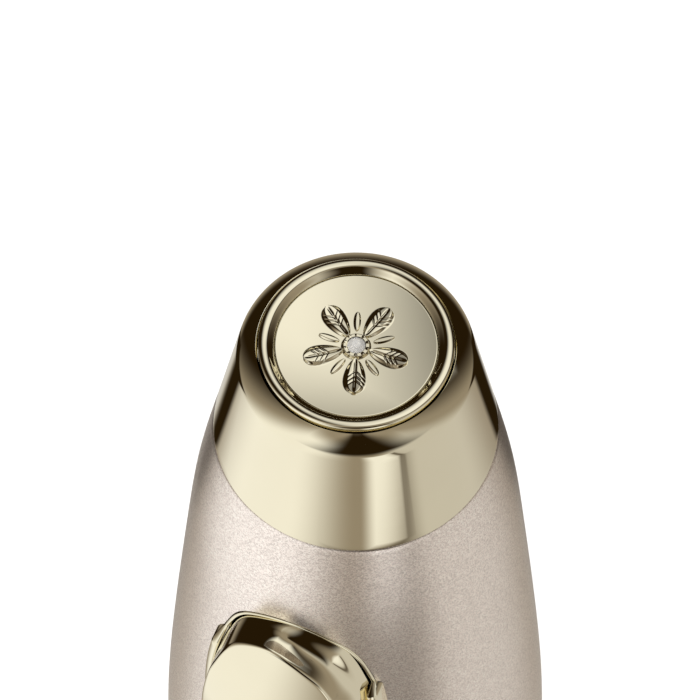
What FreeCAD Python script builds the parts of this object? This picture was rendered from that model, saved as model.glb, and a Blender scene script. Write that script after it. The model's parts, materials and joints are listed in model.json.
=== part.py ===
import FreeCAD, Part
import math
import os

# Ultrasonic skin scrubber: a bullet-shaped handle with a chrome tail cap and a
# thumb button, and a bent stainless scrubbing blade at the other end.
# Frame: origin at the centre of the tail ring's flat land, +Z out of the tail.
# The button is on the front (-Y) side, the charging port on the back (+Y).
# A station is a distance along the handle, station = -z, in mm.
# A place is (x, station); a span is (first station, last station).

Vector = FreeCAD.Vector

# ------------------------------------------------- dimensions shared by pieces
# Outer surface of the handle: (station, radius)
BODY_PROFILE = [(14.94, 13.07), (25.0, 14.97), (35.0, 16.22), (45.0, 17.30),
                (57.0, 18.52), (70.0, 19.60), (84.0, 20.10), (98.0, 19.60),
                (110.0, 18.10), (120.0, 16.00), (124.5, 14.90)]
SLEEVE_START, TAIL_RADIUS = BODY_PROFILE[0]
SLEEVE_END = BODY_PROFILE[-1][0]
WALL = 1.8                          # sleeve wall

BUTTON_PLACE = (0.0, 43.5)          # plunger axis
POSTS = [(0.0, 34.0), (0.0, 54.0)]  # chassis posts that hold the bezel
LIGHTS = [(0.0, 71.0 + 4.0 * i) for i in range(3)]

PORT_PLACE = (0.0, 26.5)
HINGE_Y, HINGE_AT = 15.27, 31.9     # axis of the port cover's knuckle
KNUCKLE_RADIUS = 0.55
SURFACE_INSET = 0.02                # cover face below the handle surface

PCB_BACK, PCB_FRONT = -6.0, -7.6    # y of the main board's faces
MOUNT_Y = PCB_FRONT - 0.05          # y where components stand on the board
PCB_SCREWS = [(-7.5, 29.0), (7.5, 29.0), (-7.5, 98.0), (7.5, 98.0)]
CHARGE_SCREWS = [(-5.6, 31.6), (5.6, 31.6)]

CELL_RADIUS, CELL_LENGTH = 7.0, 50.0
CELL_Y, CELL_START = 3.4, 36.0

HEAD_SCREWS = [(-10.5, 131.5), (10.5, 131.5)]
CLAMP_SCREWS = [(-8.4, 138.0), (8.4, 138.0)]

HEAD_HEIGHT, SHANK_RADIUS = 1.1, 0.83   # every pan-head screw
BOARD_HEAD_RADIUS = 1.7
PILOT_RADIUS = 0.86                 # hole the shank threads into
BOARD_HOLE_RADIUS = 1.15            # hole the shank passes through
HEAD_HOLE_RADIUS = 1.1              # the same, in the head end


# --------------------------------------------------------------- basic solids
def cyl_z(radius, start, end, x=0.0, y=0.0):
    return Part.makeCylinder(radius, end - start, Vector(x, y, -end), Vector(0, 0, 1))


def cyl_y(radius, y_min, y_max, x, station):
    return Part.makeCylinder(radius, y_max - y_min, Vector(x, y_min, -station), Vector(0, 1, 0))


def cyl_x(radius, half_length, y, station):
    base = Vector(-half_length, y, -station)
    return Part.makeCylinder(radius, 2 * half_length, base, Vector(1, 0, 0))


def tube_z(outer, inner, start, end, x=0.0, y=0.0):
    return cyl_z(outer, start, end, x, y).cut(cyl_z(inner, start - 1, end + 1, x, y))


def box(x_min, x_max, y_min, y_max, start, end):
    return Part.makeBox(x_max - x_min, y_max - y_min, end - start, Vector(x_min, y_min, -end))


def slab(half_width, y_min, y_max, start, end):
    """Box centred on x = 0."""
    return box(-half_width, half_width, y_min, y_max, start, end)


def side_boxes(near_x, far_x, y_min, y_max, start, end):
    """Mirrored pair of boxes, -X one first."""
    return [box(-far_x, -near_x, y_min, y_max, start, end),
            box(near_x, far_x, y_min, y_max, start, end)]


def ellipsoid(half_x, half_y, half_z, y=0.0, station=0.0):
    matrix = FreeCAD.Matrix()
    matrix.A11, matrix.A22, matrix.A33 = half_x, half_y, half_z
    matrix.A24, matrix.A34 = y, -station
    return Part.makeSphere(1.0).transformGeometry(matrix)


def fuse(shapes):
    return shapes[0].fuse(shapes[1:]).removeSplitter()


def drill(shape, radius, y_min, y_max, places):
    """Cut a round hole along Y at each place."""
    for place in places:
        shape = shape.cut(cyl_y(radius, y_min, y_max, *place))
    return shape


# ----------------------------------------------------------- profiles and wires
def half_plane(point):
    """(radius, station) to the XZ plane."""
    return Vector(point[0], 0, -point[1])


def lines(points, locate=half_plane):
    vectors = [locate(point) for point in points]
    return [Part.makeLine(a, b) for a, b in zip(vectors, vectors[1:])]


def arc(points, locate=half_plane):
    return Part.Arc(*[locate(point) for point in points]).toShape()


def face_from(edges):
    return Part.Face(Part.Wire(Part.__sortEdges__(edges)))


def revolve(edges):
    return face_from(edges).revolve(Vector(0, 0, 0), Vector(0, 0, 1), 360)


def closed_wire(points):
    return Part.makePolygon(points + [points[0]])


def open_spline(points):
    curve = Part.BSplineCurve()
    curve.interpolate(points)
    return curve


def closed_spline(points):
    curve = Part.BSplineCurve()
    curve.interpolate(Points=points, PeriodicFlag=True)
    return curve


def rounded_plate(half_width, start, end, start_corner, end_corner, y_min, y_max):
    """Rounded rectangle in XZ, with its own corner radius at each end."""
    def locate(point):
        return Vector(point[0], y_min, -point[1])

    start_x, end_x = half_width - start_corner, half_width - end_corner
    centres = [(start_x, start + start_corner, start_corner),
               (end_x, end - end_corner, end_corner),
               (-end_x, end - end_corner, end_corner),
               (-start_x, start + start_corner, start_corner)]
    corners = []
    for i, (x, station, radius) in enumerate(centres):
        turns = [math.radians(90 * (i - 1) + step) for step in (0, 45, 90)]
        corners.append([(x + radius * math.cos(turn), station + radius * math.sin(turn))
                        for turn in turns])
    edges = []
    for i, corner in enumerate(corners):
        edges += lines([corners[i - 1][2], corner[0]], locate)
        edges.append(arc(corner, locate))
    return face_from(edges).extrude(Vector(0, y_max - y_min, 0))


def slot_prism(half_x, half_y, start, end):
    """Prism along Z with a stadium section."""
    centre = half_x - half_y
    return fuse([slab(centre, -half_y, half_y, start, end),
                 cyl_z(half_y, start, end, -centre), cyl_z(half_y, start, end, centre)])


def lead(points, radius):
    """Round wire through (x, y, station) points, with ball corners."""
    vectors = [Vector(x, y, -station) for x, y, station in points]
    parts = []
    for a, b in zip(vectors, vectors[1:]):
        run = b.sub(a)
        parts.append(Part.makeCylinder(radius, run.Length, a, run))
    parts += [Part.makeSphere(radius, vector) for vector in vectors[1:-1]]
    return fuse(parts)


def screws(places, y_head, direction, shank_length, head_radius=BOARD_HEAD_RADIUS):
    """Pan-head screws along Y; direction (+1 or -1) is the way the shank goes."""
    axis = Vector(0, direction, 0)
    y_shank = y_head + direction * (HEAD_HEIGHT - 0.05)
    slot_y = sorted((y_head - direction * 0.1, y_head + direction * 0.55 * HEAD_HEIGHT))
    narrow, wide = 0.16 * head_radius, 0.62 * head_radius
    made = []
    for x, station in places:
        body = fuse([
            Part.makeCylinder(head_radius, HEAD_HEIGHT, Vector(x, y_head, -station), axis),
            Part.makeCylinder(SHANK_RADIUS, shank_length, Vector(x, y_shank, -station), axis)])
        cross = box(x - wide, x + wide, *slot_y, station - narrow, station + narrow)
        cross = cross.fuse(box(x - narrow, x + narrow, *slot_y, station - wide, station + wide))
        made.append(body.cut(cross))
    return made


# ------------------------------------------------------------- handle surface
PROFILE_CURVE = open_spline([half_plane((radius, station)) for station, radius in BODY_PROFILE])


def profile_radius(station):
    """Outer radius of the handle at a station, by bisection on the spline."""
    low, high = PROFILE_CURVE.FirstParameter, PROFILE_CURVE.LastParameter
    for _ in range(60):
        middle = 0.5 * (low + high)
        if -PROFILE_CURVE.value(middle).z < station:
            low = middle
        else:
            high = middle
    return PROFILE_CURVE.value(low).x


def offset_edge(offset, start, end, steps):
    """Handle profile moved outward by offset, as one spline edge."""
    points = []
    for i in range(steps + 1):
        station = start + (end - start) * i / steps
        points.append(half_plane((profile_radius(station) + offset, station)))
    return open_spline(points).toShape()


def handle_solid(offset):
    """Solid of revolution whose surface stands offset outside the handle."""
    start, end = SLEEVE_START, SLEEVE_END
    closing = lines([(profile_radius(end) + offset, end), (0, end), (0, start),
                     (profile_radius(start) + offset, start)])
    return revolve([offset_edge(offset, start, end, 14)] + closing)


# ------------------------------------------------------------- button outline
# Right (+X) half of the button in plan: (x, station)
BUTTON_OUTLINE = [(0.0, 28.03), (1.7, 28.27), (3.4, 29.1), (5.0, 30.5),
                  (6.15, 32.5), (6.8, 34.35), (7.25, 35.8), (7.7, 38.0),
                  (8.05, 40.5), (8.3, 44.0), (8.3, 48.0), (8.0, 52.0),
                  (7.0, 55.4), (5.2, 57.7), (2.7, 59.0), (0.0, 59.45)]
# How far each outline point moves, (x, station), at the full depth of the nose
# scoop: deep on the +X side, fading out on the -X side. Later points stay.
SCOOP_RIGHT = [(-0.3, 0.95), (-0.7, 1.15), (-1.15, 1.0), (-1.2, 0.75), (-1.1, 0.45),
               (-0.9, 0.3), (-0.7, 0.2), (-0.5, 0.1), (-0.25, 0.0)]
SCOOP_LEFT = [(-0.3, 0.95), (-0.2, 0.6), (0.0, 0.25)]
# Scoop up the button's side: (distance towards -Y, share of the full moves)
SCOOP_SECTIONS = [(14.8, 0.0), (15.5, 0.35), (16.2, 0.85), (17.0, 1.10),
                  (18.0, 1.08), (19.2, 1.0), (21.0, 0.95), (24.5, 0.9)]
PRISM_TOP = 26.0                    # clear of the handle, towards -Y
OUTLINE_SAMPLES = 56


def button_outline(distance, share):
    """Closed outline at a distance towards -Y, with a share of the scoop."""
    def moved(i, side, moves):
        x, station = BUTTON_OUTLINE[i]
        move_x, move_station = moves[i] if i < len(moves) else (0.0, 0.0)
        return Vector(side * x + share * move_x, -distance, -(station + share * move_station))

    count = len(BUTTON_OUTLINE)
    points = [moved(i, 1, SCOOP_RIGHT) for i in range(count)]
    points += [moved(i, -1, SCOOP_LEFT) for i in range(count - 2, 0, -1)]
    return closed_spline(points)


BASE_OUTLINE = button_outline(0.0, 0.0)


def outline_offset(offset):
    """Base outline moved outward along its normals."""
    first, last = BASE_OUTLINE.FirstParameter, BASE_OUTLINE.LastParameter
    points = []
    for i in range(OUTLINE_SAMPLES):
        parameter = first + (last - first) * i / OUTLINE_SAMPLES
        point = BASE_OUTLINE.value(parameter)
        tangent = BASE_OUTLINE.tangent(parameter)[0]
        length = math.hypot(tangent.z, tangent.x)
        normal_x, normal_z = tangent.z / length, -tangent.x / length
        if normal_x * point.x + normal_z * (point.z + BUTTON_PLACE[1]) < 0:
            normal_x, normal_z = -normal_x, -normal_z
        points.append(Vector(point.x + normal_x * offset, 0, point.z + normal_z * offset))
    return closed_spline(points)


def outline_prism(offset, bottom, top):
    """Prism of the offset outline; bottom and top are distances towards -Y."""
    face = Part.Face(Part.Wire([outline_offset(offset).toShape()]))
    face.translate(Vector(0, -bottom, 0))
    return face.extrude(Vector(0, -(top - bottom), 0))


def outline_ring(outer, inner, bottom):
    cutter = outline_prism(inner, bottom - 0.5, PRISM_TOP + 0.5)
    return outline_prism(outer, bottom, PRISM_TOP).cut(cutter)


# -------------------------------------------------------------- handle sleeve
TAIL_SEAT_RADIUS, TAIL_SEAT_END = 11.3, 21.0
NECK_SEAT_RADIUS, NECK_SEAT_START = 13.1, 115.0
CAVITY_END = 112.0                  # where the cavity starts to taper to the neck seat
OPENING_OUT = 0.52                  # button opening outside the outline
COVER_GAP, COVER_CORNER_GAP = 0.15, 0.1
COVER_SEAT_DEPTH = 1.0
PORT_HOLE_RADIUS = 3.1
NOTCH_HALF_WIDTH = 3.7              # wide enough for the cover to swing
NOTCH_START = 31.3
KNUCKLE_GAP = 0.13


def cover_plate(gap, corner_gap):
    """Port cover outline through the back wall, grown by the gaps."""
    return rounded_plate(4.2 + gap, 21.9 - gap, 31.6 + gap,
                         3.0 + corner_gap, 1.0 + corner_gap, 9.0, 24.0)


def body_sleeve():
    tail, neck = SLEEVE_START - 1, SLEEVE_END + 1
    cavity = revolve([
        *lines([(0, tail), (TAIL_SEAT_RADIUS, tail), (TAIL_SEAT_RADIUS, TAIL_SEAT_END),
                (profile_radius(TAIL_SEAT_END) - WALL, TAIL_SEAT_END)]),
        offset_edge(-WALL, TAIL_SEAT_END, CAVITY_END, 12),
        *lines([(profile_radius(CAVITY_END) - WALL, CAVITY_END),
                (NECK_SEAT_RADIUS, NECK_SEAT_START), (NECK_SEAT_RADIUS, neck),
                (0, neck), (0, tail)])])
    sleeve = handle_solid(0.0).cut(cavity)
    sleeve = sleeve.cut(outline_prism(OPENING_OUT, 9.0, PRISM_TOP))
    pocket = cover_plate(COVER_GAP, COVER_CORNER_GAP)
    sleeve = sleeve.cut(pocket.cut(handle_solid(-COVER_SEAT_DEPTH)))
    sleeve = sleeve.cut(cyl_y(PORT_HOLE_RADIUS, 9.0, 20.0, *PORT_PLACE))
    # hinge notch: a round seat, open outwards
    seat_radius = KNUCKLE_RADIUS + KNUCKLE_GAP
    sleeve = sleeve.cut(cyl_x(seat_radius, NOTCH_HALF_WIDTH, HINGE_Y, HINGE_AT))
    sleeve = sleeve.cut(slab(NOTCH_HALF_WIDTH, HINGE_Y, 20.0, NOTCH_START,
                             HINGE_AT + seat_radius))
    return drill(sleeve, 0.9, -24.0, -12.0, LIGHTS)


# ------------------------------------------------------------------- tail cap
# Outer shoulder arc: (radius, station)
CAP_SHOULDER = [(8.70, 0.52), (9.974, 1.247), (10.65, 2.55)]
RECESS_RADIUS, RECESS_FLOOR = CAP_SHOULDER[0][0], 2.20
CAP_CONE_END = 14.90
CAP_CAVITY_RADIUS, CAP_CAVITY_START = 8.4, 5.4
CAP_CORE_RADIUS, CAP_CORE_END = 4.5, 19.0
SPIGOT_RADIUS, SPIGOT_END = 11.2, 20.0
GROOVE_START, GROOVE_END, GROOVE_RADIUS = 17.0, 18.7, 9.78
CAP_SEAL_RADIUS, CAP_SEAL_WIRE = 10.54, 0.74


def tail_cap():
    cap = revolve([
        *lines([(0, RECESS_FLOOR), (RECESS_RADIUS, RECESS_FLOOR), CAP_SHOULDER[0]]),
        arc(CAP_SHOULDER),
        *lines([CAP_SHOULDER[2], (TAIL_RADIUS, CAP_CONE_END), (SPIGOT_RADIUS, CAP_CONE_END),
                (SPIGOT_RADIUS, GROOVE_START), (GROOVE_RADIUS, GROOVE_START),
                (GROOVE_RADIUS, GROOVE_END), (SPIGOT_RADIUS, GROOVE_END),
                (SPIGOT_RADIUS, SPIGOT_END), (CAP_CAVITY_RADIUS, SPIGOT_END),
                (CAP_CAVITY_RADIUS, CAP_CAVITY_START), (CAP_CORE_RADIUS, CAP_CAVITY_START),
                (CAP_CORE_RADIUS, CAP_CORE_END), (0, CAP_CORE_END), (0, RECESS_FLOOR)])])
    # screw hole and its counterbore
    return cap.cut(cyl_z(1.6, 0, 20)).cut(cyl_z(3.0, 1.0, 4.2))


def tail_cap_seal():
    centre = Vector(0, 0, -0.5 * (GROOVE_START + GROOVE_END))
    return Part.makeTorus(CAP_SEAL_RADIUS, CAP_SEAL_WIRE, centre, Vector(0, 0, 1))


def tail_screw():
    screw = fuse([cyl_z(2.75, 2.35, 4.15), cyl_z(1.27, 4.1, 26.0)])
    return screw.cut(slab(1.7, -0.35, 0.35, 2.0, 3.4)).cut(slab(0.35, -1.7, 1.7, 2.0, 3.4))


# ----------------------------------------------------------------- tail badge
RING_INNER, RING_LIP, RING_OUTER, RING_BACK = 7.25, 7.80, 8.66, 2.15
DISC_RADIUS, DISC_EDGE, DISC_DISH, DISC_BACK = 7.22, 0.58, 0.30, 1.60
DISH_FLOOR = DISC_EDGE + DISC_DISH
PETALS = 5
PETAL_START, PETAL_END, PETAL_WIDTH = 1.3, 4.75, 1.55   # radii, then width
FLOWER_ROLL = -16.7                 # degrees about Z
GEM_RADIUS = 0.82
# Gem cut: (corner radius, station)
GEM_SECTIONS = [(0.48, 0.24), (GEM_RADIUS, 0.58), (GEM_RADIUS, 0.66), (0.12, 1.22)]


def badge_ring():
    return revolve([
        *lines([(RING_INNER, RING_BACK), (RING_INNER, 0.55), (RING_LIP, 0.08)]),
        arc([(RING_LIP, 0.08), (7.92, 0.02), (8.06, 0.0)]),
        *lines([(8.06, 0.0), (8.34, 0.0)]),
        arc([(8.34, 0.0), (8.57, 0.10), (RING_OUTER, 0.32)]),
        *lines([(RING_OUTER, 0.32), (RING_OUTER, RING_BACK), (RING_INNER, RING_BACK)])])


def badge_disc():
    """Dished disc with a raised flower and a hole for the gem."""
    dish_radius = (DISC_RADIUS ** 2 + DISC_DISH ** 2) / (2 * DISC_DISH)
    disc = cyl_z(DISC_RADIUS, DISC_EDGE, DISC_BACK)
    disc = disc.cut(Part.makeSphere(dish_radius, Vector(0, 0, dish_radius - DISH_FLOOR)))
    limit = cyl_z(DISC_RADIUS - 0.5, 0.2, DISC_BACK - 0.1)
    half_length = 0.5 * (PETAL_END - PETAL_START)
    relief = []
    for k in range(PETALS):
        petal = ellipsoid(half_length, 0.5 * PETAL_WIDTH + 0.25, 0.52)
        petal.translate(Vector(PETAL_START + 0.05 + half_length, 0, -DISH_FLOOR - 0.02))
        petal.rotate(Vector(0, 0, 0), Vector(0, 0, 1), 90 + FLOWER_ROLL + 360.0 * k / PETALS)
        relief.append(petal.common(limit))
    disc = disc.fuse(relief + [cyl_z(1.3, 0.52, DISC_BACK - 0.1)])
    return disc.cut(cyl_z(GEM_RADIUS + 0.05, 0.1, 1.30))


def badge_gem():
    sections = []
    for radius, station in GEM_SECTIONS:
        turns = [math.radians(45 * i) for i in range(8)]
        sections.append(closed_wire([
            Vector(radius * math.cos(turn), radius * math.sin(turn), -station)
            for turn in turns]))
    return Part.makeLoft(sections, True, True)


def badge_adhesive():
    return cyl_z(6.9, 1.65, RING_BACK)


# --------------------------------------------------------------- thumb button
DOME_Y, DOME_AT = -4.0, 45.0
DOME_HALF = (18.0, 17.5, 28.0)      # half axes along x, y, z
# Bezel offsets outside the button outline
RIM_GAP, RIM_OUT, LIP_OUT, FLANGE_OUT = 0.12, 0.48, 1.00, 1.6
# Bezel surfaces: distance outside the handle surface
RIM_PROUD, LIP_PROUD, LIP_UNDERSIDE = 0.13, 1.55, 0.03
FLANGE_FACE, BEZEL_BACK = -2.65, -3.85
GASKET_FACE, GASKET_BACK = -(WALL + 0.06), -2.58
LIP_SPAN = (36.2, 62)
FLOOR_BOTTOM, FLOOR_TOP = 13.45, 14.10  # distances towards -Y
SPRING_RADIUS, SPRING_WIRE = 3.3, 0.28
SPRING_BOTTOM, SPRING_TOP = 14.5, 18.8
SPRING_TURNS, STEPS_PER_TURN = 3.5, 16
SWITCH_HALF = 3.1


def dome(shrink_x=0.0, shrink_y=0.0, shrink_z=0.0):
    half_x, half_y, half_z = DOME_HALF
    return ellipsoid(half_x - shrink_x, half_y - shrink_y, half_z - shrink_z, DOME_Y, DOME_AT)


def button_cap():
    wires = [Part.Wire([button_outline(distance, share).toShape()])
             for distance, share in SCOOP_SECTIONS]
    button = Part.makeLoft(wires, True, False).common(dome())
    inner_dome = dome(2.0, 1.8, 3.0)
    hollow_low = rounded_plate(5.2, 31.9, 56.4, 4.5, 4.5, -16.6, -14.0)
    hollow_high = rounded_plate(4.6, 37.0, 56.4, 4.2, 4.2, -26.0, -16.5)
    button = button.cut(hollow_low.common(inner_dome)).cut(hollow_high.common(inner_dome))
    post = cyl_y(2.0, -22.5, -12.9, *BUTTON_PLACE)
    post = post.fuse(cyl_y(2.8, -13.35, -12.9, *BUTTON_PLACE))
    post_limit = dome(1.0, 1.0, 1.0).fuse(cyl_y(4.0, -15.0, -12.0, *BUTTON_PLACE))
    return button.fuse(post.common(post_limit))


def button_bezel():
    """Rim in the opening, lip over the handle, flange under it, and a floor."""
    lip_surface, back_surface = handle_solid(LIP_PROUD), handle_solid(BEZEL_BACK)
    lip_zone = slab(12, -26, 0, *LIP_SPAN)
    ring = outline_ring(RIM_OUT, RIM_GAP, 9.0)
    rim = ring.common(handle_solid(RIM_PROUD)).cut(back_surface)
    lip_low = ring.common(lip_surface).common(lip_zone).cut(back_surface)
    lip_high = outline_ring(LIP_OUT, RIM_GAP + 0.1, 9.0).common(lip_surface)
    lip_high = lip_high.common(lip_zone).cut(handle_solid(LIP_UNDERSIDE))
    flange = outline_ring(FLANGE_OUT, RIM_GAP, 6.0)
    flange = flange.common(handle_solid(FLANGE_FACE)).cut(back_surface)
    floor = outline_prism(RIM_GAP + 0.1, FLOOR_BOTTOM, FLOOR_TOP)
    bezel = rim.fuse([lip_low, lip_high, flange, floor])
    bezel = bezel.cut(cyl_y(2.5, -16, -12, *BUTTON_PLACE))
    return drill(bezel, BOARD_HOLE_RADIUS, -16, -12, POSTS)


def bezel_gasket():
    ring = outline_ring(FLANGE_OUT, RIM_OUT + 0.06, 6.0)
    return ring.common(handle_solid(GASKET_FACE)).cut(handle_solid(GASKET_BACK))


def bezel_screws():
    return Part.makeCompound(screws(POSTS, -15.25, 1, 5.0))


def button_spring():
    """Coil around the button post, lofted through hexagonal wire sections."""
    sweep = 2 * math.pi * SPRING_TURNS
    rise = (SPRING_TOP - SPRING_BOTTOM) / sweep
    count = int(SPRING_TURNS * STEPS_PER_TURN)
    sections = []
    for i in range(count + 1):
        turn = sweep * i / count
        cosine, sine = math.cos(turn), math.sin(turn)
        centre = Vector(SPRING_RADIUS * cosine, -(SPRING_BOTTOM + rise * turn),
                        -BUTTON_PLACE[1] + SPRING_RADIUS * sine)
        radial = Vector(cosine, 0, sine)
        side = Vector(-SPRING_RADIUS * sine, -rise, SPRING_RADIUS * cosine).cross(radial)
        side.normalize()
        corners = []
        for degrees in range(0, 360, 60):
            angle = math.radians(degrees)
            corners.append(centre + radial * (SPRING_WIRE * math.cos(angle))
                           + side * (SPRING_WIRE * math.sin(angle)))
        sections.append(closed_wire(corners))
    return Part.makeLoft(sections, True, True)


def switch_body():
    station = BUTTON_PLACE[1]
    body = slab(SWITCH_HALF, -11.2, MOUNT_Y, station - SWITCH_HALF, station + SWITCH_HALF)
    return body.cut(cyl_y(1.68, -12, -9.0, *BUTTON_PLACE))


def switch_plunger():
    return cyl_y(1.6, -12.85, -9.9, *BUTTON_PLACE)


# ----------------------------------------------------------- indicator lights
def indicator_lenses():
    """Light pipes, each with a collar just inside the sleeve wall."""
    outer = handle_solid(0.0)
    lenses = []
    for place in LIGHTS:
        wall_inside = profile_radius(place[1]) - WALL
        collar = cyl_y(1.5, -(wall_inside - 0.10), -(wall_inside - 1.3), *place)
        lenses.append(cyl_y(0.86, -24.0, -8.75, *place).fuse(collar).common(outer))
    return Part.makeCompound(lenses)


def indicator_leds():
    return Part.makeCompound([slab(0.8, -8.65, MOUNT_Y, station - 0.6, station + 0.6)
                              for x, station in LIGHTS])


# ----------------------------------------------------------------- main board
CHIP_LEGS, LEG_PITCH, LEG_WIDTH = 7, 0.95, 0.4
CORE_SPAN = (84, 95)
CORE_FRONT = -13.6
CAPACITOR_X = 6.4


def main_pcb():
    board = slab(10.0, PCB_FRONT, PCB_BACK, 25.0, 102.0)
    board = drill(board, BOARD_HOLE_RADIUS, -9, -5, PCB_SCREWS)
    return drill(board, 2.05, -9, -5, POSTS)


def board_screws():
    return Part.makeCompound(screws(PCB_SCREWS, -8.75, 1, 4.6)
                             + screws(CHARGE_SCREWS, 6.65, -1, 4.6))


def controller_chip():
    chip = slab(3.5, -8.85, MOUNT_Y, 60.2, 67.2)
    chip = chip.cut(cyl_y(0.4, -9.2, -8.7, -2.6, 61.2))
    legs = []
    for i in range(CHIP_LEGS):
        start = 60.6 + LEG_PITCH * i
        legs += side_boxes(3.4, 4.6, -7.95, MOUNT_Y, start, start + LEG_WIDTH)
    return chip.fuse(legs)


def transformer_core():
    return fuse([slab(6, -9.0, MOUNT_Y, *CORE_SPAN), slab(6, CORE_FRONT, -12.2, *CORE_SPAN)]
                + side_boxes(4.3, 6, CORE_FRONT, MOUNT_Y, *CORE_SPAN))


def transformer_coil():
    return rounded_plate(3.9, 85.2, 93.8, 2.0, 2.0, -12.1, -9.1)


def filter_capacitor():
    can = cyl_z(2.5, 69.5, 79.5, CAPACITOR_X, -10.3)
    return can.fuse([cyl_y(0.3, -9.0, MOUNT_Y, CAPACITOR_X + side, 70.2) for side in (-1, 1)])


# -------------------------------------------------------------------- chassis
TRAY_FRONT, TRAY_BACK = -5.95, -4.45
RIB_ROOT = TRAY_BACK - 0.3          # ribs start inside the tray
BOSS_FRONT = TRAY_BACK - 0.5
# Cross ribs behind the tray: (y of the back edge, start, end)
RIBS = [(6.0, 33.9, 35.5), (6.0, 86.7, 88.3), (1.6, 47.0, 49.0), (1.6, 73.0, 75.0)]
NECK_BORE = 7.0


def inner_chassis():
    parts = [slab(9, TRAY_FRONT, TRAY_BACK, 24.0, 104.0),
             slab(6, TRAY_FRONT, TRAY_BACK, 103.0, 119.5),
             cyl_z(4.2, 20.2, 30.0),            # tail screw boss
             slab(3.6, RIB_ROOT, 0.0, 22.0, 34.5)]
    parts += [slab(9, RIB_ROOT, y_back, start, end) for y_back, start, end in RIBS]
    # rails under the charge board
    parts += side_boxes(4.6, 6.9, RIB_ROOT, 4.45, 23.4, 34.5)
    parts += [cyl_y(2.2, BOSS_FRONT + 0.0, -0.6, *place) for place in PCB_SCREWS]
    parts += [cyl_y(1.95, -13.4, BOSS_FRONT, *place) for place in POSTS]
    # ring at the neck and the web that carries it
    web = slab(6, -8.6, TRAY_BACK, 112.0, 121.0).common(cyl_z(8.7, 112.0, 121.0))
    parts += [tube_z(10.4, NECK_BORE, 119.0, 121.5), web.cut(cyl_z(NECK_BORE, 118.9, 122.5))]
    chassis = parts[0].fuse(parts[1:])
    chassis = chassis.cut(cyl_z(CELL_RADIUS + 0.12, CELL_START - 0.1,
                                CELL_START + CELL_LENGTH + 0.5, 0, CELL_Y))
    chassis = chassis.cut(cyl_z(1.3, 19.0, 31.0))
    chassis = drill(chassis, PILOT_RADIUS, -6.5, -2.0, PCB_SCREWS)
    chassis = drill(chassis, PILOT_RADIUS, 0.2, 5.0, CHARGE_SCREWS)
    chassis = drill(chassis, PILOT_RADIUS, -14.0, -8.0, POSTS)
    # window for the transducer leads
    return chassis.cut(slab(3.2, -6.5, -4.0, 96.0, 102.5)).removeSplitter()


# -------------------------------------------------------------------- battery
STRAP_SPAN = (58, 64)
# Lead paths: (x, y, station)
BATTERY_LEADS = [
    [(-7.7, 4.4, 80.0), (-10.4, 4.4, 83.0), (-11.6, -3.0, 84.0), (-11.6, -10.2, 82.0),
     (-9.6, -10.6, 78.6)],
    [(-7.7, 2.6, 77.6), (-10.9, 1.6, 80.4), (-11.0, -4.4, 81.2), (-11.4, -9.0, 79.0),
     (-9.6, -9.0, 76.6)]]


def battery_cell():
    end = CELL_START + CELL_LENGTH
    can = cyl_z(CELL_RADIUS, CELL_START + 0.2, end - 1.0, 0, CELL_Y)
    return can.fuse(cyl_z(2.7, end - 1.1, end - 0.1, 0, CELL_Y))


def battery_strap():
    """Half hoop behind the cell, with a foot on each side."""
    bore_radius = CELL_RADIUS + 0.1
    bore = cyl_z(bore_radius, 57, 65, 0, CELL_Y)
    hoop = tube_z(CELL_RADIUS + 0.75, bore_radius, *STRAP_SPAN, 0, CELL_Y)
    hoop = hoop.common(slab(9, -1.5, 14, 57, 65))
    return hoop.fuse([foot.cut(bore) for foot in side_boxes(6.4, 9.1, -3.2, -0.9, *STRAP_SPAN)])


def battery_pad():
    return slab(5.0, 11.3, 13.3, 52.0, 70.0).cut(cyl_z(CELL_RADIUS + 0.9, 50, 72, 0, CELL_Y))


def battery_leads():
    return Part.makeCompound([lead(path, 0.45) for path in BATTERY_LEADS])


def battery_connector():
    body = box(-9.4, -4.4, -11.4, MOUNT_Y, 74.0, 79.6)
    return body.cut(box(-9.6, -6.4, -10.95, -8.45, 74.9, 79.1))


# --------------------------------------------------------- charging interface
def charge_board():
    return drill(slab(6.9, 4.50, 5.50, 23.4, 33.6), BOARD_HOLE_RADIUS, 4, 6, CHARGE_SCREWS)


def charging_socket():
    jack = fuse([slab(3.5, 5.55, 12.1, 23.5, 29.5), cyl_y(2.9, 11.0, 13.0, *PORT_PLACE)])
    return jack.cut(cyl_y(1.75, 6.5, 14.0, *PORT_PLACE))


def port_cover():
    """Flush plate with a hinge knuckle, a bridge to it and a plug inside."""
    outside = handle_solid(-SURFACE_INSET)
    cover = cover_plate(0.0, 0.0).common(outside).cut(handle_solid(-0.92))
    knuckle = cyl_x(KNUCKLE_RADIUS, 3.0, HINGE_Y, HINGE_AT).common(outside)
    bridge = slab(3.0, HINGE_Y - 0.30, HINGE_Y + 0.5, 31.2, HINGE_AT).common(outside)
    plug = cyl_y(2.75, 13.15, 14.6, *PORT_PLACE).fuse(cyl_y(2.0, 14.0, 14.9, *PORT_PLACE))
    return cover.fuse([knuckle, bridge, plug.common(outside)])


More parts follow.
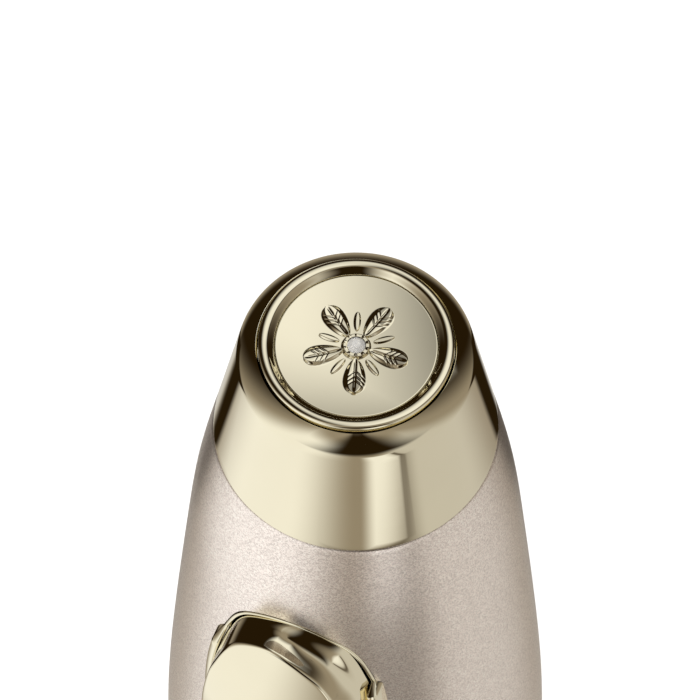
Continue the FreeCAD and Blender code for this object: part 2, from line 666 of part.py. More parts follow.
# --------------------------------------------------------------- head housing
# Outer sections: (station, half width along x, half depth along y)
HEAD_SECTIONS = [(128.7, 14.6, 14.6), (131.0, 14.85, 13.5), (134.0, 15.0, 11.2),
                 (138.0, 15.05, 8.2), (141.5, 14.9, 6.5), (143.5, 14.6, 5.9)]
HEAD_WALL = 1.7
INNER_SECTIONS = ([(128.0, 12.9, 12.9)]
                  + [(station, half_x - HEAD_WALL, half_y - HEAD_WALL)
                     for station, half_x, half_y in HEAD_SECTIONS[1:4]]
                  + [(140.6, 13.2, 5.3)])
COLLAR_BORE, COLLAR_START, COLLAR_END = 13.15, 124.56, 128.60
NECK_RADIUS, NECK_INNER, LIP_INNER = 12.9, 11.3, 9.0
MOUTH_HALF_X, MOUTH_HALF_Y = 13.3, 2.6
SPLIT_GAP = 0.02                    # each half stops this far from y = 0


def neck_collar():
    return revolve([
        *lines([(COLLAR_BORE, COLLAR_START), (14.86, COLLAR_START)]),
        arc([(14.86, COLLAR_START), (15.28, 126.0), (15.10, 127.6)]),
        *lines([(15.10, 127.6), (14.70, COLLAR_END), (COLLAR_BORE, COLLAR_END),
                (COLLAR_BORE, COLLAR_START)])])


def collar_seal():
    return Part.makeTorus(12.52, 0.54, Vector(0, 0, -118.0), Vector(0, 0, 1))


def head_loft(sections):
    wires = []
    for station, half_x, half_y in sections:
        if abs(half_x - half_y) < 1e-6:
            half_x = half_y + 1e-3      # an ellipse needs a longer major axis
        ellipse = Part.Ellipse(Vector(half_x, 0, -station), Vector(0, half_y, -station),
                               Vector(0, 0, -station))
        wires.append(Part.Wire([ellipse.toShape()]))
    return Part.makeLoft(wires, True, False)


def head_shell():
    """Whole head housing, before it is split at y = 0."""
    outer = head_loft(HEAD_SECTIONS)
    shell = outer.cut(head_loft(INNER_SECTIONS))
    spigot = tube_z(NECK_RADIUS, NECK_INNER, 116.6, 128.8)
    # two inward lips, one on each side of the chassis ring
    lips = [tube_z(12.5, LIP_INNER, 116.6, 118.9), tube_z(12.5, LIP_INNER, 121.6, 123.5)]
    neck_disc = tube_z(14.5, NECK_INNER, 128.72, 130.2)
    shell = shell.fuse([spigot] + lips + [neck_disc.common(outer)])
    shell = shell.cut(tube_z(13.5, 11.95, 117.35, 118.65))      # seal groove
    bosses = [cyl_y(2.9, -9.0, 9.0, *place).common(outer) for place in HEAD_SCREWS]
    bosses += [cyl_y(2.2, 0.5, 8.0, *place).common(outer) for place in CLAMP_SCREWS]
    shell = shell.fuse(bosses)
    return shell.cut(slot_prism(MOUTH_HALF_X + 0.05, MOUTH_HALF_Y + 0.05, 139.0, 145.0))


def blade_room():
    return slab(8.1, -0.6, 0.6, 123.9, 135.0).fuse(slab(13.0, -0.6, 0.6, 134.0, 141.0))


def head_housing_front():
    front = head_shell().common(slab(20, -20, -SPLIT_GAP, 110, 150))
    front = drill(front, PILOT_RADIUS, -6.5, 1, HEAD_SCREWS)
    return front.cut(blade_room())


def head_housing_back():
    back = head_shell().common(slab(20, SPLIT_GAP, 20, 110, 150))
    for place in HEAD_SCREWS:
        back = back.cut(cyl_y(HEAD_HOLE_RADIUS, -1, 20, *place))
        back = back.cut(cyl_y(2.0, 5.2, 20, *place))
    back = drill(back, PILOT_RADIUS, 0.2, 6.0, CLAMP_SCREWS)
    return back.cut(blade_room().common(slab(20, -1, 0.49, 120, 145)))


def head_screws():
    return Part.makeCompound(screws(HEAD_SCREWS, 6.35, -1, 10.6, head_radius=1.85))


def screw_plugs():
    outer = head_loft(HEAD_SECTIONS)
    return Part.makeCompound([cyl_y(1.95, 6.45, 14.0, *place).common(outer)
                              for place in HEAD_SCREWS])


# ---------------------------------------------------------------------- blade
BLADE_THICKNESS, BLADE_HALF_WIDTH = 0.9, 12.5
BLADE_START, BLADE_TIP = 124.0, 178.0
BEND_AT, BEND_DEGREES, BEND_RADIUS = 150.0, 26.0, 9.0
TIP_THINNING, TIP_HALF_THICKNESS = 5.0, 0.12
PLAN_Y = (-30.0, 10.0)              # y range of the plan cutters
LEAD_PATH = [(3.0, 129.0), (3.0, 106.0), (-5.45, 99.5)]    # (y, station)


def blade_sheet():
    """Blade side profile, bent to the front, extruded wider than the blade."""
    half = 0.5 * BLADE_THICKNESS
    angle = math.radians(BEND_DEGREES)

    def bend(radius, turn):
        return (-BEND_RADIUS + radius * math.cos(turn), BEND_AT + radius * math.sin(turn))

    bend_end = bend(BEND_RADIUS, angle)
    tip_length = (BLADE_TIP - bend_end[1]) / math.cos(angle)

    def beyond_bend(distance, offset):
        return (bend_end[0] - math.sin(angle) * distance + math.cos(angle) * offset,
                bend_end[1] + math.cos(angle) * distance + math.sin(angle) * offset)

    def locate(point):
        return Vector(-20, point[0], -point[1])

    back = [bend(BEND_RADIUS + half, angle * share) for share in (0, 0.5, 1)]
    front = [bend(BEND_RADIUS - half, angle * share) for share in (1, 0.5, 0)]
    thin_start = tip_length - TIP_THINNING
    tip = [back[2], beyond_bend(thin_start, half), beyond_bend(tip_length, TIP_HALF_THICKNESS),
           beyond_bend(tip_length, -TIP_HALF_THICKNESS), beyond_bend(thin_start, -half),
           front[0]]
    edges = [*lines([(half, BLADE_START), back[0]], locate), arc(back, locate),
             *lines(tip, locate), arc(front, locate),
             *lines([front[2], (-half, BLADE_START), (half, BLADE_START)], locate)]
    return face_from(edges).extrude(Vector(40, 0, 0))


def scrub_blade():
    """Sheet trimmed to a narrow mounting tab and a wide, round-cornered blade."""
    trim_end = BLADE_TIP + 0.2
    plan = rounded_plate(7.5, 123.0, 136.0, 1.0, 0.5, *PLAN_Y)
    plan = plan.fuse(rounded_plate(BLADE_HALF_WIDTH, 134.8, BLADE_TIP + 2.0, 1.5, 5.0, *PLAN_Y))
    plan = plan.fuse(rounded_plate(BLADE_HALF_WIDTH, 135.0, trim_end, 1.5, 6.0, *PLAN_Y))
    limit = slab(BLADE_HALF_WIDTH + 1, -31.0, 11.0, 134.0, trim_end)
    limit = limit.fuse(slab(9, -31, 11, 122, 135))
    blade = blade_sheet().common(plan).common(limit)
    blade = blade.common(rounded_plate(BLADE_HALF_WIDTH, 120.0, BLADE_TIP + 0.05,
                                       0.5, 6.0, *PLAN_Y))
    return drill(blade, 1.5, -2, 2, CLAMP_SCREWS)


def blade_gasket():
    plug = slot_prism(MOUTH_HALF_X, MOUTH_HALF_Y, 140.7, 143.9)
    return plug.cut(slot_prism(12.95, 0.5, 140.0, 145.0))


def blade_clamp():
    plate = rounded_plate(12.0, 135.9, 140.1, 1.2, 1.2, -2.6, -0.5)
    return drill(plate, HEAD_HOLE_RADIUS, -3, 0, CLAMP_SCREWS)


def clamp_screws():
    return Part.makeCompound(screws(CLAMP_SCREWS, -3.75, 1, 7.6))


def piezo_disc():
    return cyl_y(6.2, 0.50, 2.4, 0, 131.0)


def transducer_leads():
    return Part.makeCompound([lead([(x, y, station) for y, station in LEAD_PATH], 0.5)
                              for x in (-1.8, 1.8)])


# --------------------------------------------------------------------- export
PIECES = [
    body_sleeve, tail_cap, tail_cap_seal, tail_screw,
    badge_ring, badge_disc, badge_gem, badge_adhesive,
    button_cap, button_bezel, bezel_gasket, bezel_screws, button_spring,
    switch_body, switch_plunger, indicator_lenses, indicator_leds,
    main_pcb, board_screws, controller_chip, transformer_core, transformer_coil,
    filter_capacitor, inner_chassis,
    battery_cell, battery_strap, battery_pad, battery_leads, battery_connector,
    charge_board, charging_socket, port_cover,
    neck_collar, collar_seal, head_housing_front, head_housing_back, head_screws,
    screw_plugs, scrub_blade, blade_gasket, blade_clamp, clamp_screws,
    piezo_disc, transducer_leads]

os.makedirs("parts", exist_ok=True)
for build in PIECES:
    solids = build().Solids
    piece = Part.makeCompound(solids) if len(solids) > 1 else solids[0]
    piece.exportStep("parts/" + build.__name__ + ".step")
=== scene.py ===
"""The visible surfaces of a turned handle: lacquered sleeve, plated tail cap with a flower
badge, push button in its bezel, and neck collar; then the materials, floor, studio and camera.

The handle lies along Z. Sizes are in mm, turned into metres as each mesh is made. A station
is a distance along the handle from its tail end: station s is at z = -s. The button faces
-Y, and its depths are measured from the axis towards -Y. A plan is a loop of (x, station).
"""
import json
import math

import bmesh
import bpy
import numpy as np
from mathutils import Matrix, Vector


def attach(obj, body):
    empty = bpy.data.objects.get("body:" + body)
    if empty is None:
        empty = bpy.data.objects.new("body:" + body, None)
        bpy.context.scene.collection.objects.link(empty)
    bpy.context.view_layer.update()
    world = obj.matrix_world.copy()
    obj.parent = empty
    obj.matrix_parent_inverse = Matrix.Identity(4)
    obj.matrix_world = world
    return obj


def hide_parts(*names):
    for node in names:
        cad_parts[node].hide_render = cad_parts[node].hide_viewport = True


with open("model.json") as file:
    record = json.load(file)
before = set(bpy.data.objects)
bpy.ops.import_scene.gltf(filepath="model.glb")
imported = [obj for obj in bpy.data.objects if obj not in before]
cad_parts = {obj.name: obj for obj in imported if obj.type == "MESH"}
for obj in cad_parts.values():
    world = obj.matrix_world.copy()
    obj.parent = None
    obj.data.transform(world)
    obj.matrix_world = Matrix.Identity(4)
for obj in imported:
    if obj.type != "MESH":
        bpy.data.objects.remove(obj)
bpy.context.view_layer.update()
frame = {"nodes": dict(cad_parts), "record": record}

MM = 0.001

# View direction, shared by the camera and the studio laid out round it.
VIEW_TURN = math.radians(21.9)
VIEW_LIFT = math.radians(60.1)
SIN_TURN, COS_TURN = math.sin(VIEW_TURN), math.cos(VIEW_TURN)
SIN_LIFT, COS_LIFT = math.sin(VIEW_LIFT), math.cos(VIEW_LIFT)
TO_CAMERA = (SIN_TURN * COS_LIFT, -COS_TURN * COS_LIFT, SIN_LIFT)
VIEW_RIGHT = (COS_TURN, SIN_TURN, 0.0)
VIEW_UP = (-SIN_TURN * SIN_LIFT, COS_TURN * SIN_LIFT, COS_LIFT)

SLOT_OF = {part["node"]: part["material_slot"] for part in frame["record"]["subparts"]}
BODY_OF = {
    node: body
    for body, nodes in frame["record"]["behaviour"]["bodies"].items()
    for node in nodes
}


# ---------------------------------------------------------------- mesh tools
def mark_sharp(mesh, angle):
    """Shade smooth, with edges sharper than angle (degrees) kept crisp."""
    mesh.polygons.foreach_set("use_smooth", [True] * len(mesh.polygons))
    mesh.set_sharp_from_angle(angle=math.radians(angle))
    mesh.update()


def make_solid(name, verts, faces, angle=38.0, slots=None):
    """Closed object from vertices in mm, its faces turned outwards."""
    mesh = bpy.data.meshes.new(name)
    mesh.from_pydata((np.array(verts, dtype=float) * MM).tolist(), [], faces)
    mesh.validate()
    mesh.update()
    if slots is not None:
        mesh.polygons.foreach_set("material_index", slots)
    work = bmesh.new()
    work.from_mesh(mesh)
    bmesh.ops.remove_doubles(work, verts=work.verts, dist=1e-7)
    bmesh.ops.recalc_face_normals(work, faces=work.faces)
    work.to_mesh(mesh)
    work.free()
    mark_sharp(mesh, angle)
    solid = bpy.data.objects.new(name, mesh)
    bpy.context.scene.collection.objects.link(solid)
    return solid


def lathe(name, profile, segments, angle=38.0, second_slot_edges=None):
    """Turn a closed (radius, station) profile about Z.

    second_slot_edges lists the profile edges that take the second material slot.
    """
    verts, rows = [], []
    for radius, station in profile:
        if radius < 1e-6:
            rows.append([len(verts)] * segments)
            verts.append((0.0, 0.0, -station))
        else:
            rows.append(range(len(verts), len(verts) + segments))
            for j in range(segments):
                turn = 2 * math.pi * j / segments
                verts.append((radius * math.cos(turn), radius * math.sin(turn), -station))
    faces, slots = [], []
    for i, row in enumerate(rows):
        after = rows[(i + 1) % len(rows)]
        for j in range(segments):
            k = (j + 1) % segments
            # Rows on the axis repeat one vertex, so repeats are dropped.
            face = list(dict.fromkeys([row[j], row[k], after[k], after[j]]))
            if len(face) >= 3:
                faces.append(face)
                slots.append(int(second_slot_edges is not None and i in second_slot_edges))
    return make_solid(name, verts, faces, angle, slots if second_slot_edges else None)


def grid_faces(rows, columns, close_rows=False):
    """Quads of a grid whose columns close on themselves, and whose rows may."""
    faces = []
    for i in range(rows if close_rows else rows - 1):
        below, above = i * columns, (i + 1) % rows * columns
        for j in range(columns):
            k = (j + 1) % columns
            faces.append((below + j, below + k, above + k, above + j))
    return faces


def prism(name, start, end, angle=38.0):
    """Solid between two matching loops of (x, y, z)."""
    count = len(start)
    faces = grid_faces(2, count)
    faces += [tuple(range(count)), tuple(range(2 * count - 1, count - 1, -1))]
    return make_solid(name, start + end, faces, angle)


def prism_y(name, plan, y0, y1, angle=38.0):
    """Prism of a plan, run along Y."""
    start, end = ([(x, y, -station) for x, station in plan] for y in (y0, y1))
    return prism(name, start, end, angle)


def cut(solid, cutters):
    """Subtract the cutters from the solid and remove them."""
    for cutter in cutters:
        modifier = solid.modifiers.new("cut", "BOOLEAN")
        modifier.operation = "DIFFERENCE"
        modifier.solver = "EXACT"
        modifier.object = cutter
    depsgraph = bpy.context.evaluated_depsgraph_get()
    depsgraph.update()
    mesh = bpy.data.meshes.new_from_object(solid.evaluated_get(depsgraph))
    solid.modifiers.clear()
    solid.data = mesh
    for cutter in cutters:
        bpy.data.objects.remove(cutter, do_unlink=True)


# --------------------------------------------------------------- curve tools
def bezier(p0, p1, p2, t):
    return (1 - t) ** 2 * p0 + 2 * t * (1 - t) * p1 + t * t * p2


def smoothstep(x):
    x = np.clip(x, 0.0, 1.0)
    return x * x * (3 - 2 * x)


def cubic_piece(bend0, bend1, y0, y1, width, past, left):
    """Cubic between y0 and y1 with the given second derivatives at its ends.

    past and left are the distances from the start and to the end.
    """
    return ((bend0 * left ** 3 + bend1 * past ** 3) / (6 * width)
            + (y0 / width - bend0 * width / 6) * left
            + (y1 / width - bend1 * width / 6) * past)


def natural_spline(points):
    """Function through the (x, y) points: a natural cubic spline."""
    xs, ys = np.array(points, dtype=float).T
    count = len(xs)
    system, target = np.zeros((count, count)), np.zeros(count)
    system[0, 0] = system[-1, -1] = 1
    for i in range(1, count - 1):
        h0, h1 = xs[i] - xs[i - 1], xs[i + 1] - xs[i]
        system[i, i - 1:i + 2] = h0, 2 * (h0 + h1), h1
        target[i] = 6 * ((ys[i + 1] - ys[i]) / h1 - (ys[i] - ys[i - 1]) / h0)
    bend = np.linalg.solve(system, target)

    def value_at(x):
        k = np.clip(np.searchsorted(xs, x) - 1, 0, count - 2)
        return cubic_piece(bend[k], bend[k + 1], ys[k], ys[k + 1],
                           xs[k + 1] - xs[k], x - xs[k], xs[k + 1] - x)
    return value_at


def closed_spline(points, samples):
    """Closed cubic spline by chord length: sampled points and unit outward normals."""
    p = np.array(points, dtype=float)
    count = len(p)
    chord = np.linalg.norm(np.roll(p, -1, 0) - p, axis=1)
    start = np.concatenate([[0], np.cumsum(chord)])
    system, target = np.zeros((count, count)), np.zeros((count, 2))
    for i in range(count):
        before, after = (i - 1) % count, (i + 1) % count
        system[i, before] += chord[before]
        system[i, i] += 2 * (chord[before] + chord[i])
        system[i, after] += chord[i]
        target[i] = 6 * ((p[after] - p[i]) / chord[i] - (p[i] - p[before]) / chord[before])
    bend = np.linalg.solve(system, target)
    run = np.linspace(0, start[-1], samples, endpoint=False)
    k = np.clip(np.searchsorted(start, run, side="right") - 1, 0, count - 1)
    after = (k + 1) % count
    curve = cubic_piece(bend[k], bend[after], p[k], p[after], chord[k][:, None],
                        (run - start[k])[:, None], (start[k + 1] - run)[:, None])
    tangent = np.roll(curve, -1, 0) - np.roll(curve, 1, 0)
    tangent /= np.linalg.norm(tangent, axis=1, keepdims=True)
    normal = np.stack([tangent[:, 1], -tangent[:, 0]], 1)
    if ((curve - curve.mean(0)) * normal).sum() < 0:
        normal = -normal
    return curve, normal


def circle(station, radius, segments=48):
    """Circular plan centred on x = 0."""
    turns = [2 * math.pi * i / segments for i in range(segments)]
    return [(radius * math.cos(a), station + radius * math.sin(a)) for a in turns]


def rounded_rect(half_width, s0, s1, r0, r1, steps=14):
    """Rectangular plan from station s0 to s1, with corner radius r0 at s0 and r1 at s1."""
    corners = [(half_width - r1, s1 - r1, r1, 0), (-half_width + r1, s1 - r1, r1, 90),
               (-half_width + r0, s0 + r0, r0, 180), (half_width - r0, s0 + r0, r0, 270)]
    plan = []
    for x, station, radius, first in corners:
        for i in range(steps + 1):
            a = math.radians(first + 90.0 * i / steps)
            plan.append((x + radius * math.cos(a), station + radius * math.sin(a)))
    return plan


# ------------------------------------------------------------ material tools
class Graph:
    """A node tree, emptied and ready to be built."""

    def __init__(self, tree):
        self.tree = tree
        tree.nodes.clear()

    def add(self, kind, **settings):
        node = self.tree.nodes.new(kind)
        for key, value in settings.items():
            setattr(node, key, value)
        return node

    def fill(self, socket, value):
        """Set an input from another node's output, an RGB colour or a number."""
        if isinstance(value, bpy.types.NodeSocket):
            self.tree.links.new(value, socket)
        elif isinstance(value, (tuple, list)):
            socket.default_value = (*value, 1.0)
        else:
            socket.default_value = value

    def make(self, kind, inputs, output=0, **settings):
        """Add a node, fill its inputs by name or index, and return one output."""
        node = self.add(kind, **settings)
        for key, value in inputs.items():
            self.fill(node.inputs[key], value)
        return node.outputs[output]

    def math(self, operation, *values):
        return self.make("ShaderNodeMath", dict(enumerate(values)), operation=operation)

    def scale_add(self, value, gain, offset):
        return self.math("MULTIPLY_ADD", value, gain, offset)

    def mix(self, factor, a, b):
        """Colour a where factor is 0, b where it is 1."""
        return self.make("ShaderNodeMix", {0: factor, 6: a, 7: b}, 2, data_type="RGBA")

    def smooth(self, value, low, high, start=0.0, end=1.0):
        """Ease from start to end as value goes from low to high."""
        inputs = dict(enumerate((value, low, high, start, end)))
        return self.make("ShaderNodeMapRange", inputs,
                         interpolation_type="SMOOTHSTEP", clamp=True)

    def noise(self, vector, scale, detail=3.0, rough=0.5):
        inputs = {"Vector": vector, "Scale": scale, "Detail": detail, "Roughness": rough}
        return self.make("ShaderNodeTexNoise", inputs)

    def voronoi(self, vector, scale, output):
        return self.make("ShaderNodeTexVoronoi", {"Vector": vector, "Scale": scale}, output)

    def stretch(self, vector, factors):
        """Scale the texture space; a small factor draws the texture out along that axis."""
        node = self.add("ShaderNodeMapping")
        self.fill(node.inputs[0], vector)
        node.inputs["Scale"].default_value = factors
        return node.outputs[0]

    def shade(self, colour, factor):
        """A fixed colour multiplied by a varying factor."""
        node = self.add("ShaderNodeVectorMath", operation="SCALE")
        node.inputs[0].default_value = colour
        self.fill(node.inputs["Scale"], factor)
        return node.outputs[0]

    def bump(self, height, strength, distance):
        inputs = {"Strength": strength, "Distance": distance, "Height": height}
        return self.make("ShaderNodeBump", inputs)


def material(name, paint):
    """paint(graph, coords) returns the values of the Principled inputs it sets."""
    made = bpy.data.materials.new(name)
    made.use_nodes = True
    graph = Graph(made.node_tree)
    output = graph.add("ShaderNodeOutputMaterial")
    shader = graph.add("ShaderNodeBsdfPrincipled")
    graph.fill(output.inputs[0], shader.outputs[0])
    coords = graph.add("ShaderNodeTexCoord").outputs["Object"]
    for key, value in paint(graph, coords).items():
        graph.fill(shader.inputs[key], value)
    return made


# ----------------------------------------------------------------- materials
# Paint makers share these words: rough is the surface roughness, grain the depth of the
# colour speckle, bump the strength and depth (m) the height of the surface relief.
def polished(tint, rough=0.012, fine=0.006):
    """Plated metal: soft tint drift, faint swirls of depth fine, handling smudges."""
    def paint(g, coords):
        drift = g.noise(coords, scale=90, detail=4)
        smudge = g.noise(g.stretch(coords, (1, 1, 0.5)), scale=260, detail=5, rough=0.6)
        hair = g.noise(g.stretch(coords, (1, 1, 0.06)), scale=9000, detail=2)
        darker = [c * 0.985 for c in tint]
        lighter = [min(1.0, c * 1.01) for c in tint]
        smudged = g.scale_add(g.smooth(smudge, low=0.45, high=0.75), gain=0.006, offset=rough)
        swell = g.noise(coords, scale=300, detail=2)
        return {
            "Base Color": g.mix(g.smooth(drift, low=0.3, high=0.7), darker, lighter),
            "Metallic": 1.0,
            "Roughness": g.scale_add(hair, gain=fine, offset=smudged),
            "Normal": g.bump(swell, strength=0.006, distance=0.0002),
        }
    return paint


def satin(base, metallic, rough, grain):
    """Pearl lacquer: fine sparkle grain over a slightly uneven coat."""
    def paint(g, coords):
        fine = g.noise(coords, scale=7500, detail=2, rough=0.6)
        cells = g.voronoi(coords, scale=9000, output="Color")
        cell_value = g.make("ShaderNodeSeparateColor", {0: cells})
        sparkle = g.scale_add(cell_value, gain=0.5, offset=g.math("MULTIPLY", fine, 0.5))
        cloud = g.noise(coords, scale=60)
        speckle = g.smooth(sparkle, low=0.25, high=0.75, start=1.0 - grain, end=1.0 + grain)
        uneven = g.smooth(cloud, low=0.3, high=0.7, start=0.985, end=1.015)
        return {
            "Base Color": g.shade(base, g.math("MULTIPLY", speckle, uneven)),
            "Metallic": metallic,
            "Roughness": g.scale_add(fine, gain=0.10, offset=rough - 0.05),
            "Normal": g.bump(fine, strength=0.10, distance=0.00008),
        }
    return paint


def brushed(tint, rough, line_stretch):
    """Metal brushed in lines along the axis whose stretch factor is small."""
    def paint(g, coords):
        lines = g.noise(g.stretch(coords, line_stretch), scale=5200, rough=0.7)
        wide = g.noise(g.stretch(coords, line_stretch), scale=700, detail=2)
        spots = g.noise(coords, scale=140, detail=4)
        lined = g.scale_add(lines, gain=0.22, offset=0.80)
        relief = g.math("ADD", lines, g.math("MULTIPLY", wide, 0.5))
        return {
            "Base Color": g.shade(tint, g.scale_add(spots, gain=0.06, offset=lined)),
            "Metallic": 1.0,
            "Roughness": g.scale_add(lines, gain=0.16, offset=rough - 0.06),
            "Normal": g.bump(relief, strength=0.10, distance=0.00006),
        }
    return paint


def plastic(base, rough, grain, scale, bump, coat=0.0, metallic=0.0):
    """Moulded surface: a speckle of the given scale under a broad cloud."""
    def paint(g, coords):
        fine = g.noise(coords, scale=scale, rough=0.6)
        cloud = g.noise(coords, scale=120, detail=4)
        speckle = g.scale_add(fine, gain=grain * 2, offset=1.0 - grain)
        uneven = g.smooth(cloud, low=0.3, high=0.7, start=0.95, end=1.03)
        return {
            "Base Color": g.shade(base, g.math("MULTIPLY", speckle, uneven)),
            "Roughness": g.scale_add(fine, gain=0.12, offset=rough - 0.06),
            "Metallic": metallic,
            "Coat Weight": coat,
            "Normal": g.bump(fine, strength=bump, distance=0.00008),
        }
    return paint


def board(g, coords):
    """Circuit board: tracks and gold pads on green."""
    dots = g.voronoi(g.stretch(coords, (1, 0.01, 1)), scale=520, output="Distance")
    lanes = g.noise(g.stretch(coords, (0.15, 0.01, 1)), scale=1500, detail=0)
    tracks = g.smooth(lanes, low=0.52, high=0.56)
    pads = g.smooth(dots, low=0.10, high=0.13, start=1.0, end=0.0)
    green = g.mix(tracks, (0.012, 0.105, 0.045), (0.02, 0.19, 0.08))
    fine = g.noise(coords, scale=3000, detail=2)
    return {
        "Base Color": g.mix(pads, green, (0.75, 0.58, 0.22)),
        "Metallic": pads,
        "Roughness": g.scale_add(fine, gain=0.15, offset=0.25),
        "Normal": g.bump(g.math("ADD", tracks, pads), strength=0.35, distance=0.00004),
    }


def winding(g, coords):
    """Copper wire wound round Z."""
    turns = g.make("ShaderNodeTexWave", {"Vector": coords, "Scale": 700, "Distortion": 0.6},
                   wave_type="BANDS", bands_direction="Z")
    fine = g.noise(coords, scale=2000, detail=2)
    # Base colour runs from dark copper in the grooves between turns to bright copper on their
    # crowns: painted shade between the turns, laid over the bump.
    return {
        "Base Color": g.mix(turns, (0.30, 0.11, 0.045), (0.80, 0.36, 0.16)),
        "Metallic": 0.9,
        "Roughness": g.scale_add(fine, gain=0.15, offset=0.25),
        "Normal": g.bump(turns, strength=0.6, distance=0.0001),
    }


def glassy(base, rough, ior, transmission):
    def paint(g, coords):
        cloud = g.noise(coords, scale=900)
        fine = g.noise(coords, scale=2500, detail=2)
        swell = g.noise(coords, scale=1800, detail=2)
        return {
            "Base Color": g.mix(cloud, [c * 0.96 for c in base], base),
            "Roughness": g.scale_add(fine, gain=0.03, offset=rough),
            "IOR": ior,
            "Transmission Weight": transmission,
            "Normal": g.bump(swell, strength=0.03, distance=0.00005),
        }
    return paint


def matt_white(g, coords):
    return {
        "Base Color": g.mix(g.noise(coords, scale=30), (0.90, 0.90, 0.90), (0.92, 0.92, 0.92)),
        "Roughness": 0.9,
        "Specular IOR Level": 0.0,
    }


GOLD = (0.84, 0.785, 0.61)
PEARL = (0.87, 0.785, 0.735)
# Material of each slot: its name and its paint.
SLOT_PAINTS = {
    "body_paint": ("pearl_lacquer", satin(PEARL, metallic=0.95, rough=0.30, grain=0.22)),
    "gold_chrome": ("pale_gold_plate", polished(GOLD)),
    "steel_blade": ("brushed_blade", brushed(
        (0.80, 0.80, 0.80), rough=0.24, line_stretch=(1, 1, 0.02))),
    "steel_fastener": ("zinc_fastener", brushed(
        (0.62, 0.62, 0.64), rough=0.34, line_stretch=(0.02, 1, 1))),
    "gem_glass": ("cut_stone", glassy(
        (1.0, 0.985, 0.95), rough=0.02, ior=1.9, transmission=0.55)),
    "adhesive_foam": ("adhesive_foam", plastic(
        (0.80, 0.78, 0.70), rough=0.8, grain=0.12, scale=5200, bump=0.5)),
    "seal_rubber": ("seal_rubber", plastic(
        (0.03, 0.03, 0.03), rough=0.6, grain=0.2, scale=3800, bump=0.3)),
    "soft_silicone": ("soft_silicone", plastic(
        (0.36, 0.29, 0.255), rough=0.58, grain=0.05, scale=4800, bump=0.22)),
    "chassis_plastic": ("moulded_natural", plastic(
        (0.70, 0.70, 0.66), rough=0.5, grain=0.05, scale=2600, bump=0.2)),
    "dark_plastic": ("moulded_black", plastic(
        (0.035, 0.035, 0.04), rough=0.42, grain=0.2, scale=3400, bump=0.3)),
    "board_green": ("solder_mask", board),
    "cell_wrap": ("cell_wrap", plastic(
        (0.08, 0.20, 0.42), rough=0.3, grain=0.05, scale=1500, bump=0.12, coat=0.3)),
    "foam_grey": ("grey_foam", plastic(
        (0.12, 0.12, 0.13), rough=0.85, grain=0.3, scale=6000, bump=0.8)),
    "wire_red": ("wire_sleeve", plastic(
        (0.45, 0.03, 0.025), rough=0.35, grain=0.08, scale=3000, bump=0.15)),
    "lens_clear": ("light_pipe", glassy(
        (0.97, 0.98, 1.0), rough=0.12, ior=1.49, transmission=0.7)),
    "led_white": ("led_chip", plastic(
        (0.88, 0.87, 0.74), rough=0.3, grain=0.05, scale=4000, bump=0.15)),
    "ferrite": ("ferrite", plastic(
        (0.04, 0.037, 0.035), rough=0.65, grain=0.3, scale=4200, bump=0.5)),
    "copper": ("copper_winding", winding),
    "piezo_ceramic": ("silvered_ceramic", plastic(
        (0.66, 0.63, 0.56), rough=0.35, grain=0.1, scale=3600, bump=0.25, metallic=0.5)),
}
MATERIALS = {slot: material(name, paint) for slot, (name, paint) in SLOT_PAINTS.items()}
PLATE = MATERIALS["gold_chrome"]
# Painted dark reflection and shade: near-black metal on the ring's inner slope into the groove
# round the disc.
RING_SLOPE = material("ring_slope_painted_reflection", polished((0.045, 0.027, 0.009), rough=0.10))
# Painted shade: near-black metal in the crease round the badge and on the seat under the ring.
CREASE_PAINTED_SHADE = material("cap_crease_painted_shade", polished((0.02, 0.012, 0.004), rough=0.2))
RELIEF = material("relief_gold", polished((0.86, 0.79, 0.63), rough=0.06, fine=0.03))
# Painted dark reflection: near-black metal on the steep edges of the flower relief, which
# outlines it.
RELIEF_EDGE_PAINTED_REFLECTION = material("relief_edge_painted_reflection", polished((0.10, 0.066, 0.025), rough=0.12, fine=0.03))

replaced = set()


def dress(piece, *materials):
    piece.data.materials.clear()
    for each in materials:
        piece.data.materials.append(each)


def finish(piece, node, *materials):
    """Dress a piece and hand it over in place of a node of the frame."""
    dress(piece, *materials)
    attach(piece, BODY_OF[node])
    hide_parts(node)
    replaced.add(node)


# -------------------------------------------------- handle surface and plans
SLEEVE_START = 14.94
SLEEVE_END = 124.5
SLEEVE_START_RADIUS = 13.07
# (station, radius) of the handle surface.
SLEEVE_TABLE = [
    (SLEEVE_START, SLEEVE_START_RADIUS), (25.0, 14.97), (35.0, 16.22), (45.0, 17.30),
    (57.0, 18.52), (70.0, 19.60), (84.0, 20.10), (98.0, 19.60),
    (110.0, 18.10), (120.0, 16.00), (SLEEVE_END, 14.90),
]
radius_at = natural_spline(SLEEVE_TABLE)

# (x, station) of the +X half of the button outline, from its tail end to its neck end.
HALF_OUTLINE = [
    (0, 28.03), (1.7, 28.27), (3.4, 29.1), (5.0, 30.5), (6.15, 32.5), (6.8, 34.35),
    (7.25, 35.8), (7.7, 38.0), (8.05, 40.5), (8.3, 44.0), (8.3, 48.0), (8.0, 52.0),
    (7.0, 55.4), (5.2, 57.7), (2.7, 59.0), (0, 59.45),
]
OUTLINE = HALF_OUTLINE + [(-x, station) for x, station in reversed(HALF_OUTLINE[1:-1])]
OUTLINE_COUNT = 360
OUTLINE_XS, OUTLINE_NORMAL = closed_spline(OUTLINE, OUTLINE_COUNT)


def outline_at(gap):
    """Plan standing outside the button outline by gap, one value or one per point."""
    return OUTLINE_XS + OUTLINE_NORMAL * np.reshape(gap, (-1, 1))


def at_depth(plan, depth):
    """Vertices of a plan at a depth towards -Y, one value or one per point."""
    return np.column_stack([plan[:, 0], -depth * np.ones(len(plan)), -plan[:, 1]])


